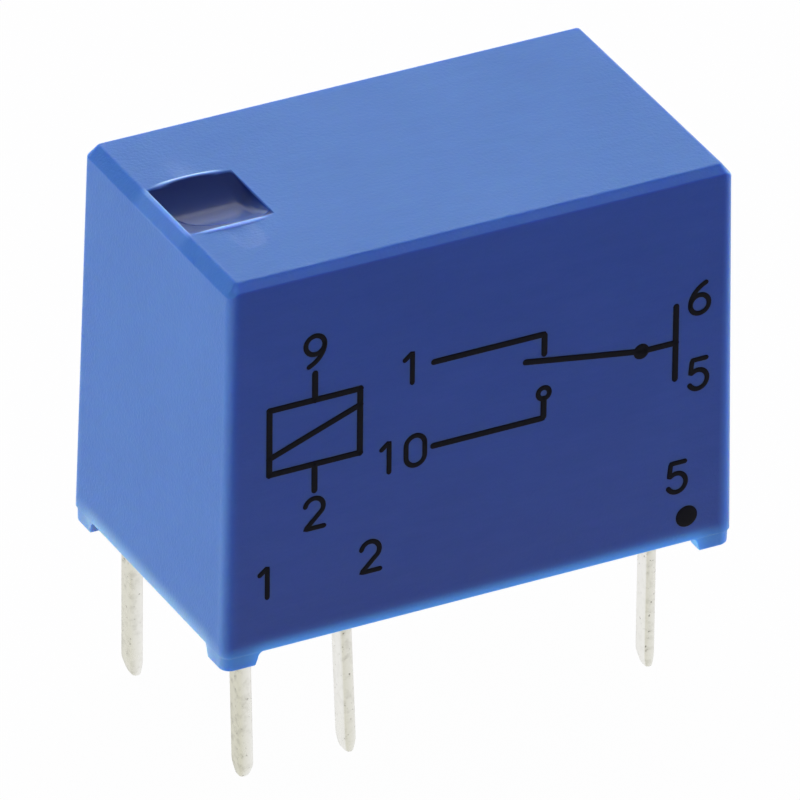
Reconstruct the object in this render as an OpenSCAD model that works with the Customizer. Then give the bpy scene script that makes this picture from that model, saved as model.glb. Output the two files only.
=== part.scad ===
// Ultra-miniature changeover signal relay for printed circuit boards.
// X runs along the long side, the printed side faces -Y, and +Z points away from the board.
// The origin is the middle of the pin grid, in the plane where the feet meet the board.
// The mechanism is drawn at rest, with no current in the coil.

/* [Cover] */
// Length of the cover along its lower edge
cover_l = 12.6; // [12.4:0.1:14]
// Width of the cover along its lower edge
cover_w = 7.4; // [7.2:0.1:9]
// Height of the roof over the board
cover_h = 9.6; // [9.2:0.1:12]
// How far the cover's middle lies to the right of the pin grid's middle
cover_shift = 0.22; // [0:0.02:0.3]
// Thickness of the side walls
wall_t = 0.45; // [0.35:0.05:0.5]
// Thickness of the roof
roof_t = 0.5; // [0.45:0.05:0.8]
// Draft of the side walls, in degrees
draft = 0.95; // [0:0.05:1.5]
// Radius of the upright edges
edge_r = 0.25; // [0.24:0.01:0.4]
// Run of the chamfer round the roof
chamfer_run = 0.23; // [0.05:0.01:0.23]
// Drop of the chamfer round the roof
chamfer_drop = 0.31; // [0.1:0.01:0.6]

/* [Feet] */
// Height of the feet, which lift the walls off the board
foot_h = 0.35; // [0.2:0.05:0.6]
// Length of each foot along both walls
foot_l = 0.8; // [0.5:0.05:1.5]
// Radius of the hollow fillet between a foot's end and the wall
foot_fillet = 0.15; // [0.05:0.05:0.2]
// Set-back of the feet from the wall's outer face
foot_inset = 0.04; // [0:0.01:0.15]

/* [Vent seal] */
// Length of the hot-pressed hollow in the roof
seal_l = 2.05; // [1:0.05:2.5]
// Width of the hollow
seal_w = 2.1; // [1:0.05:2.5]
// Depth of the hollow in its middle
seal_depth = 0.3; // [0.1:0.05:0.35]
// Flat left between the chamfer and the hollow
seal_margin = 0.05; // [0.02:0.01:0.5]
// Height of the raised lips beside the hollow
lip_h = 0.05; // [0.02:0.01:0.08]

/* [Pins] */
// Grid pitch of the pins
pitch = 2.54; // [2.5:0.01:2.6]
// Length of the pins below the board plane
pin_drop = 3.5; // [2.5:0.1:5]
// What pin 10 is longer, and pins 5 and 6 are shorter, than the others
pin_uneven = 0.15; // [0:0.05:0.3]
// Width of a pin, across the relay
pin_w = 0.5; // [0.4:0.02:0.54]
// Thickness of the terminal strip
strip_t = 0.3; // [0.2:0.02:0.3]
// Bevel of a pin's long edges
pin_bevel = 0.06; // [0.02:0.01:0.08]
// Height of the taper at a pin's tip
tip_taper = 0.45; // [0.2:0.05:0.8]

/* [Base] */
// Depth of the resin's face inside the cover's lower edge
resin_recess = 0.25; // [0.1:0.05:0.3]
// Thickness of the sealing resin
resin_t = 0.4; // [0.3:0.05:0.45]
// Thickness of the base plate
base_t = 0.6; // [0.5:0.05:0.7]
// Thickness of the barrier wall between coil and contacts
barrier_t = 0.35; // [0.25:0.05:0.4]

/* [Magnet] */
// Thickness of the yoke
yoke_t = 0.6; // [0.5:0.05:0.7]
// Width of the yoke
yoke_w = 5.4; // [4.4:0.1:5.6]
// Thickness of the armature
armature_t = 0.6; // [0.45:0.05:0.65]
// Width of the armature at the hinge
armature_w = 4.8; // [4:0.1:5]
// Diameter of the core
core_d = 2.4; // [1.8:0.1:2.6]
// Diameter of the core's pole head
pole_d = 3.4; // [2.8:0.1:3.8]
// Thickness of the pole head
pole_t = 0.35; // [0.25:0.05:0.5]
// Distance of the core's axis to the right of the pin grid's middle
core_x = 1.0; // [0.9:0.05:1.05]
// Angle through which the armature rocks, in degrees
rock = 3; // [2:0.25:3.5]

/* [Coil] */
// Thickness of the bobbin's flanges
flange_t = 0.4; // [0.3:0.05:0.5]
// Wall of the bobbin's barrel
barrel_wall = 0.35; // [0.25:0.05:0.5]
// Diameter of the winding
winding_d = 5.7; // [4.5:0.1:5.8]
// Height of one turn as drawn
wire_pitch = 0.14; // [0.12:0.02:0.3]
// Diameter of the coil's lead wires
lead_d = 0.1; // [0.06:0.02:0.12]

/* [Contacts] */
// Distance of the moving contact from the nearest pins
contact_reach = 0.8; // [0.74:0.02:0.9]
// Diameter of the contact heads
contact_d = 0.9; // [0.7:0.05:1]
// Height of the contact heads
contact_h = 0.25; // [0.2:0.05:0.3]
// Thickness of the moving spring
spring_t = 0.1; // [0.06:0.02:0.14]
// Width of the moving spring on the armature
spring_w = 3.0; // [2.4:0.1:3.4]
// Diameter of the rivet shanks
rivet_d = 0.7; // [0.5:0.05:0.8]

/* [Hidden] */
$fn = 48;
eps = 0.01;

// Clearances
plate_gap = 0.05;
bore_play = 0.02;
touch_gap = 0.01;
slide_gap = 0.15;
coil_gap = 0.08;
flange_room = 0.3;
creep_gap = 0.3;

// Pin places: the contact pins are 1 and 10, the coil pins 2 and 9, the common pins 5 and 6
contact_col = -2 * pitch;
coil_col = -pitch;
common_col = 2 * pitch;

// Levels, from the board upwards
wall_z = foot_h;
resin_z = wall_z + resin_recess;
base_z = resin_z + resin_t;
floor_z = base_z + base_t;
yoke_foot_z = floor_z + yoke_t;
ceiling_z = cover_h - roof_t;

// Levels, from the ceiling downwards
tail_h = 0.15;
headroom = 0.2;
closed_tab_z = ceiling_z - headroom - tail_h - strip_t;
closed_face_z = closed_tab_z - contact_h;

// The yoke's outer face carries the common terminal, and its top corner is the pivot
yoke_x = common_col - strip_t / 2;
contact_x = contact_col + contact_reach;
contact_arm = yoke_x - contact_x;
contact_rise = contact_arm * sin(rock);
dome_r = 1.2;
// A dome's crown keeps its height as it tilts, apart from the lean of its arm
lean_z = (spring_t + armature_t + contact_h - dome_r) * (1 - cos(rock));
armature_z = closed_face_z - touch_gap - contact_h - spring_t - armature_t - contact_rise + lean_z;
spring_z = armature_z + armature_t;
open_face_z = spring_z - contact_h - touch_gap;
open_tab_z = open_face_z - contact_h - strip_t;
pole_z = armature_z - bore_play;
tower_drop = 1.1;
tower_z = open_tab_z - tower_drop;
pivot = [yoke_x, armature_z];

// Bobbin
flange_r = 0.4;
bobbin_w = cover_w - 2 * wall_t - 2 * flange_room;
bobbin_end = yoke_x - yoke_t - coil_gap;
bobbin_l = 2 * (bobbin_end - core_x);
bobbin_top = pole_z - pole_t;
barrel_d = core_d + 2 * bore_play + 2 * barrel_wall;
lug_w = 0.8;
lug_d = 0.9;

// Half the cover's length and width at a height
lean = tan(draft);
function half_l(z) = cover_l / 2 - lean * (z - wall_z);
function half_w(z) = cover_w / 2 - lean * (z - wall_z);

// A point of the spring or armature, turned from the closed to the rest place
function rocked(p) = pivot + [
    (p.x - pivot.x) * cos(rock) + (p.y - pivot.y) * sin(rock),
    -(p.x - pivot.x) * sin(rock) + (p.y - pivot.y) * cos(rock)
];

// Ring of points round a rounded rectangle, anticlockwise from above
corner_steps = 6;
function ring(hx, hy, r, z) = [
    for (q = [0:3], k = [0:corner_steps])
        let (a = 90 * q + 90 * k / corner_steps)
        [
            (q == 0 || q == 3 ? 1 : -1) * (hx - r) + r * cos(a),
            (q < 2 ? 1 : -1) * (hy - r) + r * sin(a),
            z
        ]
];

// Closed outline from the points of its -Y half
function mirrored(half) = [
    each half,
    for (i = [len(half) - 1:-1:0]) [half[i].x, -half[i].y]
];

// Closed skin over a stack of rings with equal numbers of points
module loft(rings) {
    n = len(rings[0]);
    last = len(rings) - 1;
    polyhedron(
        points = [for (r = rings) each r],
        faces = [
            [for (i = [0:n - 1]) i],
            [for (i = [n - 1:-1:0]) last * n + i],
            for (j = [0:last - 1], i = [0:n - 1])
                [j * n + i, (j + 1) * n + i, (j + 1) * n + (i + 1) % n, j * n + (i + 1) % n]
        ],
        convexity = 4
    );
}

// Flat outline of a rounded rectangle round the origin
module rounded_rect(l, w, r) {
    square([l - 2 * r, w], center = true);
    square([l, w - 2 * r], center = true);
    for (x = [-1, 1], y = [-1, 1])
        translate([x * (l / 2 - r), y * (w / 2 - r)])
            circle(r = r);
}

// Extrusions whose outline lies in the XZ plane and in the YZ plane
module along_y(y0, y1) {
    translate([0, y1, 0])
        rotate([90, 0, 0])
            linear_extrude(y1 - y0)
                children();
}
module along_x(x0, x1) {
    translate([x0, 0, 0])
        rotate([90, 0, 90])
            linear_extrude(x1 - x0)
                children();
}

// The rest place of what moves with the armature
module at_rest() {
    translate([pivot.x, 0, pivot.y])
        rotate([0, rock, 0])
            translate([-pivot.x, 0, -pivot.y])
                children();
}

// Space inside the cover
module cavity(z0, z1, gap = 0) {
    translate([cover_shift, 0, 0])
        loft([
            for (z = [z0, z1])
                ring(half_l(z) - wall_t - gap, half_w(z) - wall_t - gap, edge_r, z)
        ]);
}

// Outline of one leg of a foot: length along the wall, then height
module foot_outline() {
    rise = foot_h + eps;
    square([foot_l, rise]);
    difference() {
        translate([foot_l - eps, foot_h - foot_fillet])
            square([foot_fillet + eps, foot_fillet + eps]);
        translate([foot_l + foot_fillet, foot_h - foot_fillet])
            circle(r = foot_fillet);
    }
}

module feet() {
    hx = cover_l / 2 - foot_inset;
    hy = cover_w / 2 - foot_inset;
    leg_t = wall_t + foot_inset;
    intersection() {
        linear_extrude(foot_h + eps)
            rounded_rect(2 * hx, 2 * hy, edge_r);
        for (x = [0, 1], y = [0, 1])
            mirror([x, 0, 0])
                mirror([0, y, 0]) {
                    translate([-hx, 0, 0])
                        along_y(-hy, leg_t - hy)
                            foot_outline();
                    translate([0, -hy, 0])
                        along_x(-hx, leg_t - hx)
                            foot_outline();
                }
    }
}

// One raised lip: the crown of a large, thin hoop that stands in the roof
module lip() {
    lip_tube = 0.12;
    lip_half = 0.42 * seal_l;
    hoop_r = lip_half * lip_half / (2 * lip_h);
    lip_angle = 2 * atan(lip_half / hoop_r);
    translate([0, 0, lip_h - lip_tube - hoop_r])
        rotate([90, -90, 0])
            rotate([0, 0, -lip_angle / 2])
                rotate_extrude(angle = lip_angle, $fn = 96)
                    translate([hoop_r, 0])
                        circle(r = lip_tube, $fn = 24);
}

module cover() {
    seal_x = -half_l(cover_h) + chamfer_run + seal_margin;
    seal_r = (seal_w * seal_w / 4 + seal_depth * seal_depth) / (2 * seal_depth);
    chamfer_z = cover_h - chamfer_drop;
    color("royalblue")
        difference() {
            translate([cover_shift, 0, 0]) {
                loft([
                    ring(half_l(wall_z), half_w(wall_z), edge_r, wall_z),
                    ring(half_l(chamfer_z), half_w(chamfer_z), edge_r, chamfer_z),
                    ring(
                        half_l(cover_h) - chamfer_run,
                        half_w(cover_h) - chamfer_run,
                        edge_r - chamfer_run + eps,
                        cover_h
                    )
                ]);
                feet();
                for (side = [-1, 1])
                    translate([seal_x + seal_l / 2, side * (seal_w / 2 + lip_h), cover_h])
                        lip();
            }
            cavity(-1, ceiling_z);
            translate([cover_shift + seal_x, 0, cover_h + seal_r - seal_depth])
                rotate([0, 90, 0])
                    cylinder(r = seal_r, h = seal_l, $fn = 96);
        }
}

// Cross-section of a pin or post of width w, with bevelled long edges
module pin_section(w = pin_w) {
    hx = strip_t / 2;
    hy = w / 2;
    polygon([
        [hx - pin_bevel, -hy], [hx, pin_bevel - hy], [hx, hy - pin_bevel], [hx - pin_bevel, hy],
        [pin_bevel - hx, hy], [-hx, hy - pin_bevel], [-hx, pin_bevel - hy], [pin_bevel - hx, -hy]
    ]);
}

// Share of a pin's width and of its thickness that the blunt tip keeps
tip_share = [0.4, 0.55];

// Outline of a tapering pin seen along one of its sides
module tip_outline(w, tip, top, drop) {
    polygon([
        [-tip / 2, -drop], [tip / 2, -drop], [w / 2, tip_taper - drop],
        [w / 2, top], [-w / 2, top], [-w / 2, tip_taper - drop]
    ]);
}

// A pin from its tip, at the depth drop, up to a height, round the origin
module pin(top, drop = pin_drop) {
    intersection() {
        translate([0, 0, -drop])
            linear_extrude(top + drop)
                pin_section();
        along_x(-strip_t, strip_t)
            tip_outline(pin_w, tip_share[0] * pin_w, top, drop);
        along_y(-pin_w, pin_w)
            tip_outline(strip_t, tip_share[1] * strip_t, top, drop);
    }
}

// The six places of the pins
module at_pins() {
    for (x = [contact_col, coil_col, common_col], side = [-1, 1])
        translate([x, side * pitch, 0])
            children();
}

module sealing_resin() {
    color("dimgray")
        difference() {
            cavity(resin_z, base_z);
            at_pins()
                translate([0, 0, resin_z - eps])
                    linear_extrude(resin_t + 2 * eps)
                        pin_section();
        }
}

// The tower backs the contact blades and shields them from the coil
blade_x = contact_col + strip_t / 2;
barrier_x = coil_col - strip_t / 2 - creep_gap - barrier_t;
rib_t = 0.4;
rib_y = pitch - 2 * rib_t;

module base() {
    hx = half_l(floor_z) - wall_t - plate_gap;
    hy = half_w(floor_z) - wall_t - plate_gap;
    barrier_w = 2 * (half_w(tower_z) - wall_t - slide_gap);
    color("black")
        difference() {
            union() {
                translate([cover_shift, 0, base_z])
                    linear_extrude(base_t)
                        rounded_rect(2 * hx, 2 * hy, edge_r);
                translate([barrier_x, -barrier_w / 2, floor_z - eps])
                    cube([barrier_t, barrier_w, tower_z - floor_z + eps]);
                for (y = [-rib_y, 0, rib_y])
                    translate([blade_x, y - rib_t / 2, floor_z - eps])
                        cube([barrier_x - blade_x + eps, rib_t, tower_z - floor_z + eps]);
            }
            at_pins()
                translate([0, 0, base_z - eps])
                    linear_extrude(base_t + 2 * eps)
                        pin_section();
        }
}

// Top of the bobbin's lower flange and lugs
lug_z = yoke_foot_z + flange_t;

// Above a lug each coil terminal narrows to a post, flush with the inner edge of its pin
post_w = 0.3;
post_h = 1.0;
post_y = pitch - (pin_w - post_w) / 2;

module bobbin() {
    ear_t = 0.3;
    ear_l = 1.2;
    ear_y = armature_w / 2 + slide_gap;
    ear_x = bobbin_end - ear_l - flange_r;
    ear_top = armature_z + armature_t / 2;
    slot = [0.5, 0.6, flange_t + 2 * eps];
    slot_x = core_x - bobbin_l / 2 + 0.6;
    color("ivory")
        difference() {
            union() {
                translate([core_x, 0, yoke_foot_z])
                    linear_extrude(flange_t)
                        rounded_rect(bobbin_l, bobbin_w, flange_r);
                translate([core_x, 0, bobbin_top - flange_t])
                    linear_extrude(flange_t)
                        rounded_rect(bobbin_l, bobbin_w, flange_r);
                translate([core_x, 0, yoke_foot_z])
                    cylinder(d = barrel_d, h = bobbin_top - yoke_foot_z);
                // Lugs that carry the coil terminals
                for (side = [-1, 1])
                    translate([coil_col - lug_d / 3, side * pitch - lug_w / 2, floor_z])
                        cube([lug_d, lug_w, lug_z - floor_z]);
                // Ears that keep the armature straight
                for (side = [-1, 1])
                    translate([ear_x, side * (ear_y + ear_t / 2) - ear_t / 2, bobbin_top - eps])
                        cube([ear_l, ear_t, ear_top - bobbin_top + eps]);
            }
            translate([core_x, 0, yoke_foot_z - eps])
                cylinder(d = core_d + 2 * bore_play, h = bobbin_top - yoke_foot_z + 2 * eps);
            // Slots for the coil terminals
            for (side = [-1, 1])
                translate([coil_col, side * pitch, floor_z - eps])
                    linear_extrude(lug_z - floor_z + 2 * eps)
                        pin_section();
            // Notches that let the lead wires out of the winding
            for (side = [-1, 1])
                translate([slot_x, side * bobbin_w / 2, yoke_foot_z + flange_t / 2])
                    cube(slot, center = true);
        }
}

// Winding: rows of wire, drawn coarser than the real one, between the flanges
winding_z0 = lug_z;
winding_z1 = bobbin_top - flange_t;
turns = floor((winding_z1 - winding_z0) / wire_pitch);
turn_h = (winding_z1 - winding_z0) / turns;

module winding() {
    groove = 0.3 * turn_h;
    color("peru")
        translate([core_x, 0, 0])
            rotate_extrude()
                polygon([
                    [barrel_d / 2, winding_z1],
                    [barrel_d / 2, winding_z0],
                    for (i = [0:2 * turns])
                        [winding_d / 2 - (i % 2 == 0 ? groove : 0), winding_z0 + i * turn_h / 2]
                ]);
}

tail_d = 1.6;

module core() {
    bevel = 0.08;
    color("silver")
        translate([core_x, 0, 0])
            rotate_extrude()
                polygon([
                    [0, floor_z], [tail_d / 2 - bore_play, floor_z],
                    [tail_d / 2 - bore_play, yoke_foot_z], [core_d / 2, yoke_foot_z],
                    [core_d / 2, bobbin_top], [pole_d / 2, bobbin_top],
                    [pole_d / 2, pole_z - bevel], [pole_d / 2 - bevel, pole_z], [0, pole_z]
                ]);
}

// Rivets, and their places on the yoke's outer face
rivet_head_d = rivet_d + 0.35;
rivet_tail_d = rivet_d + 0.25;
rivet_head_h = 0.2;
shank_d = rivet_d - 2 * bore_play;
terminal_bar_h = rivet_head_d;
rivet_gap = 0.1;
terminal_rivet_z = lug_z + rivet_tail_d / 2 + rivet_gap;
terminal_bar_z = terminal_rivet_z - terminal_bar_h / 2;
terminal_rivet_y = 1.3;
spring_foot_z = terminal_bar_z + terminal_bar_h + 0.3;
spring_rivet_z = spring_foot_z + 0.6;
spring_rivet_y = spring_w / 4;

module yoke() {
    bend_r = 0.5;
    foot_reach = 1.1;
    foot_end = core_x - tail_d / 2 - foot_reach;
    color("lightsteelblue")
        difference() {
            along_y(-yoke_w / 2, yoke_w / 2)
                difference() {
                    translate([foot_end, floor_z])
                        square([yoke_x - foot_end, pole_z - floor_z]);
                    translate([foot_end - eps, yoke_foot_z])
                        square([yoke_x - yoke_t - foot_end + eps, pole_z - yoke_foot_z + eps]);
                    difference() {
                        translate([yoke_x - bend_r, floor_z - eps])
                            square([bend_r + eps, bend_r + eps]);
                        translate([yoke_x - bend_r, floor_z + bend_r])
                            circle(r = bend_r);
                    }
                }
            translate([core_x, 0, floor_z - eps])
                cylinder(d = tail_d, h = yoke_t + 2 * eps);
            for (side = [-1, 1]) {
                across_yoke(side * terminal_rivet_y, terminal_rivet_z)
                    cylinder(d = rivet_d, h = yoke_t + 2 * eps);
                across_yoke(side * spring_rivet_y, spring_rivet_z)
                    cylinder(d = rivet_d, h = yoke_t + 2 * eps);
            }
        }
}

// Start of a hole through the yoke's upright leg, from inside to outside
module across_yoke(y, z) {
    translate([yoke_x - yoke_t - eps, y, z])
        rotate([0, 90, 0])
            children();
}

// Rivet along +Z: its domed head stands on the plane z = 0, and its tail ends at -grip - tail_h
module rivet(grip) {
    rotate_extrude() {
        translate([0, -grip - tail_h])
            square([rivet_tail_d / 2, tail_h]);
        translate([0, -grip - eps])
            square([shank_d / 2, grip + 2 * eps]);
        intersection() {
            square([rivet_head_d / 2, rivet_head_h]);
            translate([0, rivet_head_h - dome_r])
                circle(r = dome_r, $fn = 96);
        }
    }
}

// Armature: a plate with a narrower nose, drawn closed and then rocked to its rest place
armature_tail = 0.15;
armature_rivet_x = [
    for (side = [-1, 1])
        core_x + side * (pole_d / 2 + rivet_tail_d / 2 + rivet_gap)
];
nose_x = armature_rivet_x[0] - rivet_head_d / 2 - rivet_gap;
nose_w = 2.6;
nose_cut = 0.3;
shoulder_x = core_x - pole_d / 2 - nose_cut;
shoulder_run = 1.0;

module armature() {
    color("slategray")
        at_rest()
            translate([0, 0, armature_z])
                linear_extrude(armature_t)
                    difference() {
                        polygon(mirrored([
                            [nose_x, nose_cut - nose_w / 2],
                            [nose_x + nose_cut, -nose_w / 2],
                            [shoulder_x, -nose_w / 2],
                            [shoulder_x + shoulder_run, -armature_w / 2],
                            [yoke_x + armature_tail, -armature_w / 2]
                        ]));
                        for (x = armature_rivet_x)
                            translate([x, 0])
                                circle(d = rivet_d);
                    }
}

module armature_rivets() {
    color("gainsboro")
        at_rest()
            for (x = armature_rivet_x)
                translate([x, 0, spring_z + spring_t])
                    rivet(armature_t + spring_t);
}

// Middle line of the spring's hinge in the XZ plane: off the armature, over a quarter turn,
// down an S of half a cosine wave, and straight along the yoke
hinge_x = yoke_x - 0.5;
loop_out = 0.62;
loop_x = yoke_x + loop_out;
loop_r = 0.35;
leaf_z = spring_z + spring_t / 2;
foot_x = yoke_x + spring_t / 2;
sweep_z = spring_rivet_z + rivet_head_d / 2 + rivet_gap;
sweep_steps = 8;
loop_turn = [
    for (a = [90:-15:0])
        rocked([loop_x - loop_r, leaf_z - loop_r]) + loop_r * [cos(a - rock), sin(a - rock)]
];
loop_end = loop_turn[len(loop_turn) - 1];
loop_sweep = [
    for (k = [1:sweep_steps])
        let (t = k / sweep_steps)
        [
            foot_x + (loop_end.x - foot_x) * (1 + cos(180 * t)) / 2,
            loop_end.y + (sweep_z - loop_end.y) * t
        ]
];
hinge_line = [
    rocked([hinge_x, leaf_z]), each loop_turn, each loop_sweep, [foot_x, spring_foot_z]
];

// Outline of a strip that follows a line, with round joints
module strip(line, t) {
    for (i = [0:len(line) - 2])
        let (step = line[i + 1] - line[i])
            translate(line[i])
                rotate(atan2(step.y, step.x))
                    translate([0, -t / 2])
                        square([norm(step), t]);
    for (i = [1:len(line) - 2])
        translate(line[i])
            circle(d = t);
}

module moving_spring() {
    tip_r = contact_d / 2 + 0.1;
    arm_w = 1.1;
    taper_x = nose_x - 0.3;
    taper_run = 0.8;
    leaf_edge = 0.2;
    leaf_w = nose_w - 2 * leaf_edge;
    waist_x = shoulder_x + leaf_edge;
    color("goldenrod")
        union() {
            at_rest()
                translate([0, 0, spring_z])
                    linear_extrude(spring_t)
                        difference() {
                            union() {
                                polygon(mirrored([
                                    [contact_x, -arm_w / 2], [taper_x, -arm_w / 2],
                                    [taper_x + taper_run, -leaf_w / 2], [waist_x, -leaf_w / 2],
                                    [waist_x + shoulder_run, -spring_w / 2],
                                    [hinge_x + eps, -spring_w / 2]
                                ]));
                                translate([contact_x, 0])
                                    circle(r = tip_r);
                            }
                            translate([contact_x, 0])
                                circle(d = contact_d / 2 + 2 * bore_play);
                            for (x = armature_rivet_x)
                                translate([x, 0])
                                    circle(d = rivet_d);
                        }
            difference() {
                along_y(-spring_w / 2, spring_w / 2)
                    strip(hinge_line, spring_t);
                for (side = [-1, 1])
                    translate([yoke_x - eps, side * spring_rivet_y, spring_rivet_z])
                        rotate([0, 90, 0])
                            cylinder(d = rivet_d, h = spring_t + 2 * eps);
            }
        }
}

// Domed contact head that points along +Z from the origin
module contact_head() {
    rotate_extrude()
        intersection() {
            square([contact_d / 2, contact_h]);
            translate([0, contact_h - dome_r])
                circle(r = dome_r, $fn = 96);
        }
}

module moving_contact() {
    color("whitesmoke")
        at_rest()
            translate([contact_x, 0, spring_z]) {
                translate([0, 0, spring_t])
                    contact_head();
                translate([0, 0, -eps])
                    cylinder(d = contact_d / 2, h = spring_t + 2 * eps);
                mirror([0, 0, 1])
                    contact_head();
            }
}

// Fixed contact: flat head, shank through the tab, tail; the head's face lies at z = 0, tail upwards
module fixed_contact() {
    bevel = 0.06;
    head_r = contact_d / 2;
    grip_z = contact_h + strip_t;
    rotate_extrude()
        polygon([
            [0, 0], [head_r - bevel, 0], [head_r, bevel], [head_r, contact_h],
            [head_r / 2, contact_h], [head_r / 2, grip_z], [0.8 * head_r, grip_z],
            [0.7 * head_r, grip_z + tail_h], [0, grip_z + tail_h]
        ]);
}

module normally_closed_contact() {
    color("whitesmoke")
        translate([contact_x, 0, closed_face_z])
            fixed_contact();
}

module normally_open_contact() {
    color("whitesmoke")
        translate([contact_x, 0, open_face_z])
            mirror([0, 0, 1])
                fixed_contact();
}

// One contact terminal: pin, shouldered blade, and a tab that is bent over at tab_z
// The blade stands on the side given by side, and its top reaches across to carry the tab
module contact_terminal(side, tab_z) {
    tab_margin = 0.2;
    tab_half = contact_d / 2 + tab_margin;
    tab_end = contact_x + tab_half;
    wall_gap = 0.22;
    blade_outer = half_w(closed_tab_z) - wall_t - wall_gap;
    blade_step = 0.25;
    blade_inner = tab_half + blade_step;
    corner = 0.35;
    arm_h = 0.45;
    bend_r = 0.3;
    bend_z = tab_z + strip_t - bend_r;
    outer_x = contact_col - strip_t / 2;
    difference() {
        union() {
            translate([contact_col, side * pitch, 0])
                pin(floor_z + eps, pin_drop + (side > 0 ? pin_uneven : 0));
            along_x(outer_x, blade_x)
                mirror([side > 0 ? 0 : 1, 0])
                    polygon([
                        [blade_inner, floor_z], [blade_outer, floor_z],
                        [blade_outer, bend_z - corner], [blade_outer - corner, bend_z],
                        [-tab_half, bend_z], [-tab_half, tab_z - arm_h],
                        [blade_inner, tab_z - arm_h]
                    ]);
            along_y(-tab_half, tab_half)
                difference() {
                    translate([outer_x, tab_z])
                        square([tab_end - outer_x, strip_t]);
                    difference() {
                        translate([outer_x - eps, bend_z])
                            square([bend_r + eps, bend_r + eps]);
                        translate([outer_x + bend_r, bend_z])
                            circle(r = bend_r);
                    }
                }
        }
        translate([contact_x, 0, tab_z - 2 * eps])
            cylinder(d = contact_d / 2, h = strip_t + 4 * eps);
    }
}

module normally_closed_terminal() {
    color("lightgray")
        contact_terminal(-1, closed_tab_z);
}

module normally_open_terminal() {
    color("lightgray")
        contact_terminal(1, open_tab_z);
}

module coil_terminal(side) {
    translate([coil_col, side * pitch, 0])
        pin(lug_z);
    translate([coil_col, side * post_y, lug_z - eps])
        linear_extrude(post_h + eps)
            pin_section(post_w);
}

module coil_terminal_front() {
    color("lightgray")
        coil_terminal(-1);
}

module coil_terminal_rear() {
    color("lightgray")
        coil_terminal(1);
}

// Bridge with two legs: pins 5 and 6, riveted flat on the yoke's outer face
module common_terminal() {
    leg_w = 0.8;
    outer = pitch + pin_w / 2;
    corner = 0.35;
    bar_top = terminal_bar_z + terminal_bar_h;
    color("lightgray")
        difference() {
            union() {
                for (side = [-1, 1]) {
                    translate([common_col, side * pitch, 0])
                        pin(floor_z + eps, pin_drop - pin_uneven);
                    along_x(yoke_x, yoke_x + strip_t)
                        mirror([side > 0 ? 0 : 1, 0])
                            polygon([
                                [outer - leg_w, floor_z], [outer, floor_z],
                                [outer, bar_top - corner], [outer - corner, bar_top],
                                [-eps, bar_top], [-eps, terminal_bar_z],
                                [outer - leg_w - corner, terminal_bar_z],
                                [outer - leg_w, terminal_bar_z - corner]
                            ]);
                }
            }
            for (side = [-1, 1])
                translate([yoke_x - eps, side * terminal_rivet_y, terminal_rivet_z])
                    rotate([0, 90, 0])
                        cylinder(d = rivet_d, h = strip_t + 2 * eps);
        }
}

module spring_rivets() {
    color("gainsboro")
        for (side = [-1, 1])
            translate([yoke_x + spring_t, side * spring_rivet_y, spring_rivet_z])
                rotate([0, 90, 0])
                    rivet(yoke_t + spring_t);
}

module terminal_rivets() {
    color("gainsboro")
        for (side = [-1, 1])
            translate([yoke_x + strip_t, side * terminal_rivet_y, terminal_rivet_z])
                rotate([0, 90, 0])
                    rivet(yoke_t + strip_t);
}

// Lead wire: out of the winding, across to the post, and round it in a close helix
wraps = 4;
wrap_steps = 12;
post_r = norm([strip_t / 2 - pin_bevel, post_w / 2]);
wrap_r = post_r / cos(180 / wrap_steps) + lead_d / 2 + touch_gap;
wrap_z = lug_z + lead_d;
wrap_rise = 1.1 * lead_d;
wrap_start = -75;
lead_angle = 128;
lead_lift = 0.5;
lead_r = (winding_d + lead_d) / 2;
lead_start = [core_x + lead_r * cos(lead_angle), lead_r * sin(lead_angle), winding_z0 + lead_lift];
lead_out = [-0.25, 0, -0.1];
lead_in = [0.3, 0.05, 0.03];
function wrap_point(i) =
    let (a = wrap_start - 360 * i / wrap_steps)
    [
        coil_col + wrap_r * cos(a),
        post_y + wrap_r * sin(a),
        wrap_z + wrap_rise * i / wrap_steps
    ];
lead_path = [
    lead_start,
    lead_start + lead_out,
    wrap_point(0) + lead_in,
    for (i = [0:wraps * wrap_steps]) wrap_point(i)
];

// Tube of even diameter along a path, with round-ish rings of equal numbers of points
function unit(v) = v / norm(v);
function heading(p, i) = unit(p[min(i + 1, len(p) - 1)] - p[max(i - 1, 0)]);
function tube_ring(c, d, r, n) =
    let (u = unit(cross(d, [0, 0, 1])), w = cross(u, d))
    [for (k = [0:n - 1]) c + r * (u * cos(360 * k / n) + w * sin(360 * k / n))];

module tube(path, r, n = 8) {
    rings = [for (i = [0:len(path) - 1]) tube_ring(path[i], heading(path, i), r, n)];
    last = len(rings) - 1;
    polyhedron(
        points = [for (q = rings) each q],
        faces = [
            [for (k = [n - 1:-1:0]) k],
            [for (k = [0:n - 1]) last * n + k],
            for (j = [0:last - 1], k = [0:n - 1])
                [j * n + k, j * n + (k + 1) % n, (j + 1) * n + (k + 1) % n, (j + 1) * n + k]
        ],
        convexity = 8
    );
}

module coil_lead(side) {
    mirror([0, side > 0 ? 0 : 1, 0])
        tube(lead_path, lead_d / 2);
}

module coil_lead_front() {
    color("orangered")
        coil_lead(-1);
}

module coil_lead_rear() {
    color("orangered")
        coil_lead(1);
}

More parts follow.
